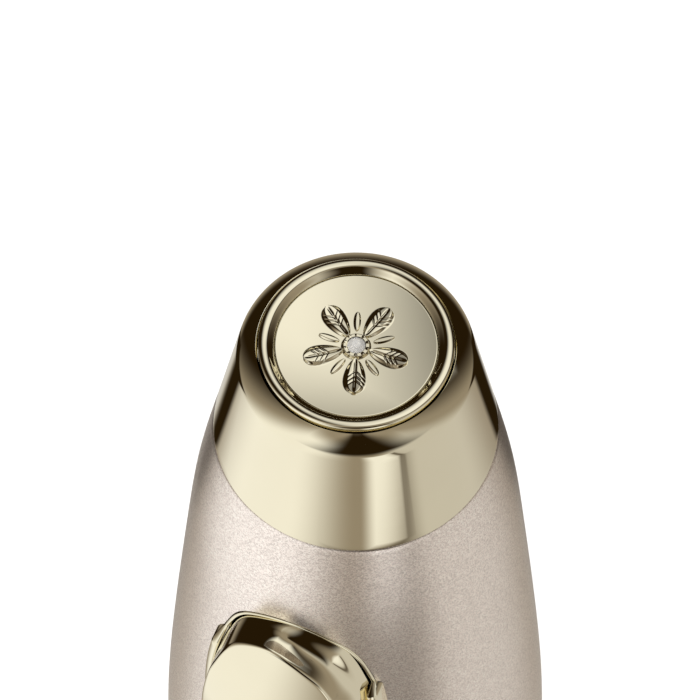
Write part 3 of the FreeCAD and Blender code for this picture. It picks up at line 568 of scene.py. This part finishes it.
# -------------------------------------------------------------------- sleeve
SLEEVE_EDGE = 0.16          # size of the rounded tail edge
SLEEVE_WALL = 1.8
TAIL_BORE = 11.3            # bore radius up to station TAIL_BORE_END
TAIL_BORE_END = 21.0
NECK_BORE = 13.1
KNUCKLE_HALF = 3.7          # half length of the knuckle recess along X
KNUCKLE_RADIUS = 0.68
KNUCKLE_Y, KNUCKLE_STATION = 15.27, 31.9


def sleeve_profile():
    first = radius_at(SLEEVE_START)
    last = radius_at(SLEEVE_END)
    profile = [(first - SLEEVE_EDGE * 1.1, SLEEVE_START),
               (first - SLEEVE_EDGE * 0.45, SLEEVE_START + 0.04),
               (first - SLEEVE_EDGE * 0.08, SLEEVE_START + 0.11)]
    profile += [(radius_at(s), s) for s in np.linspace(SLEEVE_START + 0.2, 124.30, 220)]
    profile += [(last - 0.06, 124.44), (last - 0.18, SLEEVE_END)]
    profile += [(NECK_BORE, SLEEVE_END), (NECK_BORE, 115.0)]
    inside = [112.0, *np.linspace(110.0, 23.0, 30), TAIL_BORE_END]
    profile += [(radius_at(s) - SLEEVE_WALL, s) for s in inside]
    return profile + [(TAIL_BORE, TAIL_BORE_END), (TAIL_BORE, SLEEVE_START)]


def port_pocket():
    """Shallow pocket cutter on +Y, its floor 1 mm under the handle surface."""
    stations = np.linspace(10.0, 40.0, 90)
    core = [(0.0, 10.0), *((radius_at(s) - 1.0, s) for s in stations), (0.0, 40.0)]
    shell = lathe("cut_shell", core, 160)
    plan = rounded_rect(half_width=4.35, s0=21.75, s1=31.75, r0=3.1, r1=1.1)
    pocket = prism_y("cut_pocket", plan, 9.0, 24.0)
    cut(pocket, [shell])
    return pocket


def knuckle_cutters():
    """Round recess along X at the pocket's neck end, and its opening to the outside."""
    start, end = (
        [(x, KNUCKLE_Y + dy, -KNUCKLE_STATION + dz) for dy, dz in circle(0, KNUCKLE_RADIUS, 32)]
        for x in (-KNUCKLE_HALF, KNUCKLE_HALF))
    opening = rounded_rect(KNUCKLE_HALF, s0=31.3, s1=32.58, r0=0.05, r1=0.05, steps=2)
    return [prism("cut_knuckle", start, end),
            prism_y("cut_knuckle_box", opening, KNUCKLE_Y, 20.0)]


def build_sleeve():
    sleeve = lathe("vis_body_sleeve", sleeve_profile(), 400)
    pocket = port_pocket()
    cutters = [prism_y("cut_button", outline_at(0.52).tolist(), -26.0, -9.0), pocket,
               prism_y("cut_port", circle(26.5, 3.1), 9.0, 20.0)]
    for i in range(3):
        cutters.append(prism_y("cut_led%d" % i, circle(71.0 + 4.0 * i, 0.9, 32), -24.0, -12.0))
    cut(sleeve, cutters)
    cut(sleeve, knuckle_cutters())
    mark_sharp(sleeve.data, 30)
    return sleeve


# ------------------------------------------------------------------ tail cap
CAP_SHOULDER_START = (8.88, 0.565)
CAP_SHOULDER_CORNER = (10.45, 1.50)
CAP_SHOULDER_END = (10.65, 2.55)
CAP_EDGE_STATION = 14.90
# (radius, station) of the badge seat and the crease round it.
CAP_SEAT = [(0.0, 2.20), (8.70, 2.20), (8.70, 0.95), (8.71, 0.80), (8.80, 0.66), (8.845, 0.575)]
# (radius, station) from the rounded open edge, along the spigot and its groove, to the inside.
CAP_INSIDE = [
    (13.045, 14.80), (13.00, 14.87), (12.90, CAP_EDGE_STATION), (11.2, CAP_EDGE_STATION),
    (11.2, 17.0), (9.78, 17.0), (9.78, 18.7), (11.2, 18.7), (11.2, 20.0), (8.4, 20.0),
    (8.4, 5.4), (4.5, 5.4), (4.5, 19.0), (1.6, 19.0), (1.6, 4.2), (0.0, 4.2),
]


def build_tail_cap():
    bends = [np.array(p) for p in (CAP_SHOULDER_START, CAP_SHOULDER_CORNER, CAP_SHOULDER_END)]
    shoulder = [tuple(bezier(*bends, i / 39)) for i in range(40)]
    radius, station = CAP_SHOULDER_END
    cone = [(radius + (SLEEVE_START_RADIUS - radius) * t,
             station + (CAP_EDGE_STATION - station) * t) for t in np.linspace(0.04, 0.985, 20)]
    # The seat and crease edges take the second slot, the near-black metal that paints shade into
    # the crease.
    return lathe("vis_tail_cap", CAP_SEAT + shoulder + cone + CAP_INSIDE, 512, 32,
                 second_slot_edges=range(6))


# ---------------------------------------------------------------- badge ring
RING_SLOPE_START = (7.30, 0.505)
RING_SLOPE_END = (7.74, 0.135)
RING_BACK = 2.15
# (radius, station) inside and outside the straight inner slope.
RING_INSIDE = [(7.25, RING_BACK), (7.25, 0.60), (7.265, 0.545), RING_SLOPE_START]
RING_OUTSIDE = [
    (7.79, 0.085), (7.85, 0.050), (7.93, 0.026), (8.02, 0.010), (8.12, 0.002), (8.24, 0.0),
    (8.34, 0.006), (8.43, 0.022), (8.50, 0.048), (8.56, 0.085), (8.61, 0.14), (8.645, 0.21),
    (8.66, 0.30), (8.66, RING_BACK),
]


def build_badge_ring():
    (r0, s0), (r1, s1) = RING_SLOPE_START, RING_SLOPE_END
    slope = [(r0 + (r1 - r0) * t, s0 - (s0 - s1) * t) for t in (0.33, 0.66, 1.0)]
    # The inner slope's edges take the second slot, the near-black metal that paints dark
    # reflection and shade on it.
    return lathe("vis_badge_ring", RING_INSIDE + slope + RING_OUTSIDE, 512, 36,
                 second_slot_edges=range(2, 7))


# ---------------------------------------------------------------- badge disc
FLOWER_ROLL = math.radians(90 - 16.7)
PETAL_CENTRE = 3.02         # distance of a petal's middle from the axis
DISC_RADIUS = 7.22
DISC_SAG = 0.30             # how far the dish sinks from rim to middle
DISC_RIM = 0.58             # station of the dish at its rim
DISC_SEGMENTS = 560
GEM_SEAT_RADIUS = 0.87
GEM_SEAT_STATION = 1.30
DISC_BACK = 1.60
# (radius, station) of the disc's rounded rim and side.
DISC_SIDE = [(7.17, 0.600), (7.205, 0.64), (DISC_RADIUS, 0.70), (DISC_RADIUS, DISC_BACK)]


def turned(x, y, angle):
    """Distances along and across a direction at angle."""
    return (x * math.cos(angle) + y * math.sin(angle),
            -x * math.sin(angle) + y * math.cos(angle))


def leaf_coords(along, across, centre, half_length, half_width, widen=0.0):
    """Place in a leaf shape: -1 to 1 along it, and 0 on its midline to 1 on its edge."""
    t = (along - centre) / half_length
    width = half_width * np.sqrt(np.clip(1 - t ** 2, 0, 1)) * (1.0 + widen * t)
    return t, np.where(width > 1e-3, np.abs(across) / np.maximum(width, 1e-3), 9.0)


def petal_height(x, y, angle):
    """One petal with a midline groove and slanting side grooves."""
    along, across = turned(x, y, angle)
    t, edge = leaf_coords(along, across, PETAL_CENTRE, half_length=1.78, half_width=1.02,
                          widen=0.30)
    inside = smoothstep((1 - edge) * 2.0)
    body = np.where(np.abs(t) < 1, inside * (0.26 - 0.08 * (1 - np.abs(t))), 0.0)
    vein = 0.075 * np.exp(-(across / 0.10) ** 2) * smoothstep((1 - np.abs(t)) * 3)
    side = np.zeros_like(x)
    for shift in (-0.45, 0.0, 0.45):
        for sign in (-1, 1):
            off_line = (along - (PETAL_CENTRE + shift)) - sign * across * 0.85
            side = side + np.where(across * sign > 0, np.exp(-(off_line / 0.085) ** 2), 0.0)
    return body - vein - 0.035 * side * inside * (np.abs(t) < 0.9)


def flower_height(x, y):
    """Height of the flower relief above the dish."""
    height = np.zeros_like(x)
    for k in range(5):
        angle = FLOWER_ROLL + 2 * math.pi * k / 5
        height = np.maximum(height, petal_height(x, y, angle))
        # a small leaf between this petal and the next
        t, edge = leaf_coords(*turned(x, y, angle + math.pi / 5), centre=2.55,
                              half_length=0.95, half_width=0.34)
        leaf = np.where(np.abs(t) < 1, smoothstep((1 - edge) * 1.6) * 0.16, 0.0)
        height = np.maximum(height, leaf)
    r = np.hypot(x, y)
    boss = smoothstep((1.34 - r) / 0.22) * 0.345
    ripple = np.maximum(0, np.cos(10 * (np.arctan2(y, x) - FLOWER_ROLL)))
    beads = 0.06 * ripple * np.exp(-((r - 1.10) / 0.13) ** 2)
    return np.maximum(height, boss + beads)


def relief_slots(height, radii):
    """Slot of each face of the dish: 0 plain, 1 relief, 2 steep edge of the relief, which takes
    near-black metal as painted dark reflection.
    """
    after = np.roll(height, -1, axis=1)
    mean = 0.25 * (height[:-1] + height[1:] + after[:-1] + after[1:])
    radial = (height[1:] - height[:-1]) / np.diff(radii)[:, None]
    around = (after - height)[:-1] / (radii[:-1, None] * 2 * math.pi / DISC_SEGMENTS)
    slots = np.where(np.hypot(radial, around) > 0.5, 2, np.where(mean > 0.012, 1, 0))
    return slots.ravel().tolist()


def build_badge_disc():
    count = DISC_SEGMENTS
    turns = np.arange(count) * 2 * math.pi / count
    radii = np.concatenate([np.linspace(GEM_SEAT_RADIUS, 5.4, 190), np.linspace(5.43, 7.12, 34)])
    x, y = radii[:, None] * np.cos(turns), radii[:, None] * np.sin(turns)
    height = flower_height(x, y)
    dish_radius = (DISC_RADIUS ** 2 + DISC_SAG ** 2) / (2 * DISC_SAG)
    dish = DISC_RIM + DISC_SAG - (x ** 2 + y ** 2) / (2 * dish_radius) - height

    side_radii, side_stations = np.array(DISC_SIDE).T
    row_radii = np.concatenate([[GEM_SEAT_RADIUS], radii, side_radii])[:, None]
    stations = np.vstack([np.full((1, count), GEM_SEAT_STATION), dish,
                          np.repeat(side_stations[:, None], count, axis=1)])
    rows = np.stack([row_radii * np.cos(turns), row_radii * np.sin(turns), -stations], -1)
    verts = np.vstack([[[0, 0, -GEM_SEAT_STATION]], rows.reshape(-1, 3), [[0, 0, -DISC_BACK]]])

    following = [(j + 1) % count for j in range(count)]
    faces = [(0, 1 + j, 1 + k) for j, k in enumerate(following)]
    for i in range(len(rows) - 1):
        inner, outer = 1 + i * count, 1 + (i + 1) * count
        faces += [(inner + j, outer + j, outer + k, inner + k)
                  for j, k in enumerate(following)]
    last = 1 + (len(rows) - 1) * count
    faces += [(len(verts) - 1, last + k, last + j) for j, k in enumerate(following)]
    # Plain faces: seat floor and wall before the dish, side and back after it.
    slots = [0] * (2 * count) + relief_slots(height, radii)
    slots += [0] * ((len(DISC_SIDE) + 1) * count)
    return make_solid("vis_badge_disc", verts, faces, 62, slots)


# ----------------------------------------------------------------------- gem
GEM_RADIUS = 0.82
# (points, radius, turn in degrees, station): table, crown, girdle top, girdle bottom, point.
GEM_RINGS = [(8, 0.40, 22.5, 0.24), (8, 0.64, 0, 0.40), (16, GEM_RADIUS, 0, 0.585),
             (16, GEM_RADIUS, 0, 0.65), (8, 0.10, 0, 1.20)]


def build_gem():
    verts, starts = [], []
    for count, radius, turn, station in GEM_RINGS:
        starts.append(len(verts))
        for i in range(count):
            a = math.radians(360 / count * i + turn)
            verts.append((radius * math.cos(a), radius * math.sin(a), -station))
    table, crown, top, bottom, point = starts
    faces = [tuple(range(8))]
    for i in range(8):
        n = (i + 1) % 8
        middle = top + 2 * i + 1
        faces += [(table + (i - 1) % 8, crown + i, table + i),
                  (table + i, crown + i, middle),
                  (table + i, middle, crown + n),
                  (crown + i, top + 2 * i, middle),
                  (crown + n, middle, top + (2 * i + 2) % 16)]
    for i in range(16):
        n = (i + 1) % 16
        faces.append((top + i, bottom + i, bottom + n, top + n))
    for i in range(8):
        n = (i + 1) % 8
        middle = bottom + 2 * i + 1
        faces += [(bottom + 2 * i, point + i, middle),
                  (middle, point + i, point + n),
                  (middle, point + n, bottom + (2 * i + 2) % 16)]
    faces.append(tuple(point + i for i in range(7, -1, -1)))
    gem = make_solid("vis_badge_gem", verts, faces, 1)
    gem.data.polygons.foreach_set("use_smooth", [False] * len(gem.data.polygons))
    return gem


# -------------------------------------------------------------------- button
BUTTON_CENTRE = np.array([0.0, 44.5])
SKIRT_DEPTH = 14.8
SWEEP_DEPTH = 23.4          # depth to which the wall is swept before the dome trims it
SWEEP_ROWS = 130
WALL_ROWS = 60
EDGE_ROUND = 0.34
# The domed face is part of an ellipsoid.
DOME_BASE, DOME_HEIGHT = 4.0, 17.5
DOME_STATION = 45.0
DOME_HALF_WIDTH, DOME_HALF_LENGTH = 18.0, 28.0
# (x, station) shifts of the first outline points at +X and -X, which scoop the tail end.
SCOOP_PLUS_X = [(-0.3, 0.95), (-0.7, 1.15), (-1.15, 1.0), (-1.2, 0.75), (-1.1, 0.45),
                (-0.9, 0.3), (-0.7, 0.2), (-0.5, 0.1), (-0.25, 0.0)]
SCOOP_MINUS_X = [(-0.3, 0.95), (-0.2, 0.6), (0.0, 0.25)]
# (depth, share of the scoop shifts applied there)
scoop_share = natural_spline([(SKIRT_DEPTH, 0.0), (15.5, 0.35), (16.2, 0.85), (17.0, 1.10),
                              (18.0, 1.08), (19.2, 1.0), (21.0, 0.95), (24.5, 0.9)])


def scoop_shifts():
    """Scoop shift of every point of the closed outline."""
    plus, minus = np.zeros((2, len(HALF_OUTLINE), 2))
    plus[:len(SCOOP_PLUS_X)] = SCOOP_PLUS_X
    minus[:len(SCOOP_MINUS_X)] = SCOOP_MINUS_X
    return np.concatenate([plus, minus[-2:0:-1]])


def dome_depth(plan):
    x, station = plan[..., 0], plan[..., 1]
    v = 1 - (x / DOME_HALF_WIDTH) ** 2 - ((station - DOME_STATION) / DOME_HALF_LENGTH) ** 2
    return DOME_BASE + DOME_HEIGHT * np.sqrt(np.maximum(v, 0.0))


def wall_edge(loops, depths):
    """Plan and depth of the line where the swept wall meets the dome."""
    edge_plan, edge_depth = np.zeros((OUTLINE_COUNT, 2)), np.zeros(OUTLINE_COUNT)
    for j in range(OUTLINE_COUNT):
        gap = dome_depth(loops[:, j]) - depths
        k = int(np.argmax(gap < 0))
        if gap[k] >= 0:
            k = len(depths) - 1
        k = max(k, 1)
        t = gap[k - 1] / max(gap[k - 1] - gap[k], 1e-9)
        edge_depth[j] = depths[k - 1] + t * (depths[k] - depths[k - 1])
        edge_plan[j] = loops[k - 1, j] + t * (loops[k, j] - loops[k - 1, j])
    return edge_plan, edge_depth


def build_button():
    """Underside, wall swept from the skirt to the dome, small rounded edge, then the dome."""
    outline, shifts = np.array(OUTLINE, dtype=float), scoop_shifts()
    depths = np.linspace(SKIRT_DEPTH, SWEEP_DEPTH, SWEEP_ROWS)
    loops = np.array([closed_spline(outline + shifts * scoop_share(d), OUTLINE_COUNT)[0]
                      for d in depths])
    edge_plan, edge_depth = wall_edge(loops, depths)

    spring_pocket = BUTTON_CENTRE + 0.5 * (OUTLINE_XS - BUTTON_CENTRE)
    pocket_roof = 19.4
    rows = [at_depth(spring_pocket, depth) for depth in (pocket_roof, 17.0)]
    for inset, depth in ((1.6, 17.0), (1.6, 14.9), (0.12, SKIRT_DEPTH)):
        rows.append(at_depth(outline_at(-inset), depth))

    columns = np.arange(OUTLINE_COUNT)
    for i in range(WALL_ROWS):
        t = i / (WALL_ROWS - 1)
        depth = SKIRT_DEPTH + (edge_depth - EDGE_ROUND - SKIRT_DEPTH) * t
        place = (depth - SKIRT_DEPTH) / (SWEEP_DEPTH - SKIRT_DEPTH) * (SWEEP_ROWS - 1)
        k = np.clip(place, 0, SWEEP_ROWS - 2).astype(int)
        w = (place - k)[:, None]
        rows.append(at_depth(loops[k, columns] * (1 - w) + loops[k + 1, columns] * w, depth))

    wall_top = rows[-1]
    corner = at_depth(edge_plan, edge_depth)
    inward = BUTTON_CENTRE - edge_plan
    inward = inward / np.linalg.norm(inward, axis=1, keepdims=True)
    dome_plan = edge_plan + inward * EDGE_ROUND * 1.05
    dome_start = at_depth(dome_plan, dome_depth(dome_plan))
    rows += [bezier(wall_top, corner, dome_start, i / 8.0) for i in range(1, 8)]
    rows.append(dome_start)
    for t in np.concatenate([np.linspace(0.012, 0.2, 14), np.linspace(0.23, 0.985, 46)]):
        plan = dome_plan + (BUTTON_CENTRE - dome_plan) * t
        rows.append(at_depth(plan, dome_depth(plan)))

    x, station = BUTTON_CENTRE
    verts = np.vstack(rows + [[[x, -dome_depth(BUTTON_CENTRE), -station],
                               [x, -pocket_roof, -station]]])
    faces = grid_faces(len(rows), OUTLINE_COUNT)
    dome_centre = len(rows) * OUTLINE_COUNT
    last = dome_centre - OUTLINE_COUNT
    for j in range(OUTLINE_COUNT):
        k = (j + 1) % OUTLINE_COUNT
        faces += [(last + j, last + k, dome_centre), (k, j, dome_centre + 1)]
    return make_solid("vis_button_cap", verts, faces, 40)


POST_STATION = 43.5
POST_FOOT_Y = -13.35


def build_post():
    return prism_y("vis_button_post", circle(POST_STATION, 2.0, 64), -19.6, POST_FOOT_Y, 40)


def build_foot():
    return prism_y("vis_button_foot", circle(POST_STATION, 2.8, 64), POST_FOOT_Y, -12.9, 40)


# --------------------------------------------------------------------- bezel
BEZEL_INNER = 0.12          # gap from the button outline to the bezel's inner face
BEZEL_OUTER_LOW = 0.48      # the same to its outer face, where the lip is low
BEZEL_OUTER_HIGH = 1.00
LIP_LOW, LIP_HIGH = 0.13, 1.55      # lip height above the handle surface
LIP_ROUND = 0.30
LIP_STEPS = 14
FLANGE = 1.55               # reach of the flange under the sleeve


def bezel_row(gap, lift):
    """Outline widened by gap, laid on the handle surface raised by lift."""
    plan = outline_at(gap)
    radius = radius_at(plan[:, 1]) + lift
    return at_depth(plan, np.sqrt(np.maximum(radius ** 2 - plan[:, 0] ** 2, 1.0)))


def build_bezel():
    """Section from the inner foot up the inside, over the rounded lip and down the outside."""
    x, station = OUTLINE_XS.T
    # The lip rises gently on the -X side and steeply on the +X side.
    rise = np.where(x < 0, smoothstep((station - 35.2) / 2.2), smoothstep((station - 36.0) / 0.5))
    outer = BEZEL_OUTER_LOW + (BEZEL_OUTER_HIGH - BEZEL_OUTER_LOW) * rise
    lip = LIP_LOW + (LIP_HIGH - LIP_LOW) * rise
    half = 0.5 * (outer - BEZEL_INNER)
    crown = np.minimum(half, LIP_ROUND)
    rows = [bezel_row(BEZEL_INNER, lift) for lift in (-3.85, -1.8, -0.4)]
    for i in range(LIP_STEPS + 1):
        a = math.pi * (1 - i / LIP_STEPS)
        rows.append(bezel_row(BEZEL_INNER + half + half * math.cos(a),
                              lip - crown + crown * math.sin(a)))
    rows.append(bezel_row(outer, np.minimum(lip - 0.28, 0.10) * (1 - rise) + 0.04 * rise))
    rows.append(bezel_row(BEZEL_OUTER_LOW, 0.03 * rise - 0.02 * (1 - rise)))
    for gap, lift in ((BEZEL_OUTER_LOW, -1.75), (FLANGE, -2.66), (FLANGE, -3.84)):
        rows.append(bezel_row(gap, lift))
    faces = grid_faces(len(rows), OUTLINE_COUNT, close_rows=True)
    return make_solid("vis_button_bezel", np.concatenate(rows), faces, 50)


def build_bezel_floor():
    """Plate across the bezel, with a post hole and two smaller holes."""
    plate = prism_y("vis_bezel_floor", outline_at(0.10).tolist(), -14.10, -13.45)
    holes = [(POST_STATION, 2.5), (34.0, 1.15), (54.0, 1.15)]
    cut(plate, [prism_y("cut_bf%d" % i, circle(station, radius), -16, -12)
                for i, (station, radius) in enumerate(holes)])
    mark_sharp(plate.data, 30)
    return plate


# --------------------------------------------------------------- neck collar
COLLAR_BORE = 13.15
COLLAR_START, COLLAR_END = 124.56, 128.60
# (radius, station) at each side of the bulging band.
COLLAR_TAIL_EDGE = [(COLLAR_BORE, COLLAR_START), (14.70, COLLAR_START), (14.84, 124.60),
                    (14.93, 124.70)]
COLLAR_NECK_EDGE = [(15.10, 127.75), (14.95, 128.15), (14.78, 128.48), (14.70, 128.57),
                    (14.58, COLLAR_END), (COLLAR_BORE, COLLAR_END)]


def build_collar():
    band = []
    for i in range(1, 24):
        t = i / 24
        bulge = 0.33 * math.sin(math.pi * min(1, t * 0.62 + 0.02)) ** 0.9
        band.append((14.93 + bulge + 0.02 * t, 124.75 + 2.85 * t))
    return lathe("vis_neck_collar", COLLAR_TAIL_EDGE + band + COLLAR_NECK_EDGE, 384, 40)


# ---------------------------------------------------------------- the pieces
finish(build_sleeve(), "body_sleeve", MATERIALS["body_paint"])
# Near-black second and third materials: painted shade in the cap's crease, painted dark
# reflection and shade on the ring's slope, painted dark reflection on the relief's steep edges.
finish(build_tail_cap(), "tail_cap", PLATE, CREASE_PAINTED_SHADE)
finish(build_badge_ring(), "badge_ring", PLATE, RING_SLOPE)
finish(build_badge_disc(), "badge_disc", PLATE, RELIEF, RELIEF_EDGE_PAINTED_REFLECTION)
finish(build_gem(), "badge_gem", MATERIALS["gem_glass"])
for build in (build_button, build_post, build_foot):
    finish(build(), "button_cap", PLATE)
for build in (build_bezel, build_bezel_floor):
    finish(build(), "button_bezel", PLATE)
finish(build_collar(), "neck_collar", PLATE)

# The other parts of the frame keep their shape and only take a material.
for node, part in frame["nodes"].items():
    if node not in replaced:
        dress(part, MATERIALS[SLOT_OF[node]])

# --------------------------------------------------- floor (sizes in metres)
FLOOR_HALF = 6.0
FLOOR_Z = -0.1788


def build_floor():
    mesh = bpy.data.meshes.new("floor")
    corners = [(-1, -1), (1, -1), (1, 1), (-1, 1)]
    mesh.from_pydata([(x * FLOOR_HALF, y * FLOOR_HALF, FLOOR_Z) for x, y in corners],
                     [], [(0, 1, 2, 3)])
    floor = bpy.data.objects.new("floor", mesh)
    bpy.context.scene.collection.objects.link(floor)
    dress(floor, material("studio_floor", matt_white))
    floor.visible_glossy = False


build_floor()

# -------------------------------------------------------------------- studio
WHITE, DIM = (1.06, 1.05, 1.02), (0.66, 0.63, 0.58)
GREY, FLAG = (0.15, 0.125, 0.095), (0.020, 0.011, 0.003)
STUDIO_BASE = (0.35, 0.30, 0.235)
# Cards and flags seen in reflections, each laid over those before it. Angles in degrees:
# clock is the direction round the lens axis (0 right, 90 up), off the angle away from it.
# colour, clock middle, clock half, off middle, off half, clock softness, off softness
STUDIO_CARDS = [
    (DIM, 0, 400, 178, 14, 1, 5),           # backdrop
    (FLAG, 90, 75, 80, 55, 18, 15),         # dark ceiling
    (WHITE, 65, 30, 48, 20, 12, 10),        # overhead panel
    (WHITE, -138, 30, 85, 58, 18, 12),      # large softbox, lower left
    (DIM, -40, 24, 90, 60, 13, 12),         # softbox, lower right
    (GREY, -82, 20, 131, 25, 9, 3),         # dark table below
    (WHITE, -74, 9, 86, 18, 5, 3),          # strip light below
    (GREY, -62, 1.5, 88, 18, 1.5, 3),       # gap beside the strip
    (FLAG, -80, 45, 28, 29, 22, 9),         # dark side round the lens
    (FLAG, 172, 16, 140, 22, 2, 4),         # flag, back left
    (FLAG, 10, 15, 145, 25, 2, 4),          # flag, back right
]
KEY_DIRECTION = (-0.66, -0.38, 0.65)
FILL_LIGHT, KEY_LIGHT = (0.92, 0.91, 0.90), (1.62, 1.60, 1.56)


def build_world():
    """Cards for reflections, a soft key and fill for diffuse light, white for the camera."""
    world = bpy.data.worlds.new("studio")
    bpy.context.scene.world = world
    world.use_nodes = True
    g = Graph(world.node_tree)
    output = g.add("ShaderNodeOutputWorld")
    coords = g.add("ShaderNodeTexCoord").outputs["Generated"]
    direction = g.make("ShaderNodeVectorMath", {0: coords}, operation="NORMALIZE")

    def along(axis):
        node = g.add("ShaderNodeVectorMath", operation="DOT_PRODUCT")
        g.fill(node.inputs[0], direction)
        node.inputs[1].default_value = axis
        return node.outputs["Value"]

    def degrees(angle):
        return g.math("MULTIPLY", angle, 180 / math.pi)

    clock = degrees(g.math("ARCTAN2", along(VIEW_UP), along(VIEW_RIGHT)))
    off = degrees(g.math("ARCCOSINE", along(TO_CAMERA)))
    glossy = STUDIO_BASE
    for colour, clock_mid, clock_half, off_mid, off_half, clock_soft, off_soft in STUDIO_CARDS:
        turn = g.math("WRAP", g.math("SUBTRACT", clock, clock_mid), 180.0, -180.0)
        turn = g.math("ABSOLUTE", turn)
        lean = g.math("ABSOLUTE", g.math("SUBTRACT", off, off_mid))
        outside = g.math(
            "MAXIMUM",
            g.smooth(turn, low=clock_half - clock_soft, high=clock_half + clock_soft),
            g.smooth(lean, low=off_half - off_soft, high=off_half + off_soft))
        glossy = g.mix(outside, colour, glossy)

    key = g.smooth(along(KEY_DIRECTION), low=-0.2, high=1.0)
    diffuse = g.mix(key, FILL_LIGHT, KEY_LIGHT)
    rays = g.add("ShaderNodeLightPath").outputs
    background = g.add("ShaderNodeBackground")
    colour = g.mix(rays["Is Glossy Ray"], diffuse, glossy)
    colour = g.mix(rays["Is Transmission Ray"], colour, glossy)
    colour = g.mix(rays["Is Camera Ray"], colour, (1.0, 1.0, 1.0))
    g.fill(background.inputs[0], colour)
    g.fill(output.inputs[0], background.outputs[0])
    world.cycles.sampling_method = "NONE"


build_world()

# -------------------------------------------------------------------- camera
CAMERA_DISTANCE = 307.4
CAMERA_LEFT, CAMERA_DOWN = 0.546, 0.710     # offset of the lens axis from the origin


def build_camera():
    ahead = -Vector(TO_CAMERA)
    right = Vector(VIEW_RIGHT)
    up = right.cross(ahead)
    lens = bpy.data.cameras.new("camera")
    lens.lens = 180.0
    lens.sensor_width = 36.0
    lens.clip_start = 0.01
    lens.clip_end = 50.0
    camera = bpy.data.objects.new("camera", lens)
    bpy.context.scene.collection.objects.link(camera)
    camera.location = -(CAMERA_LEFT * right + CAMERA_DOWN * up + CAMERA_DISTANCE * ahead) * MM
    camera.rotation_euler = ahead.to_track_quat("-Z", "Y").to_euler()
    bpy.context.scene.camera = camera


build_camera()
view = bpy.context.scene.view_settings
view.view_transform = "Standard"
view.look = "None"
view.exposure = 0.0
view.gamma = 1.0
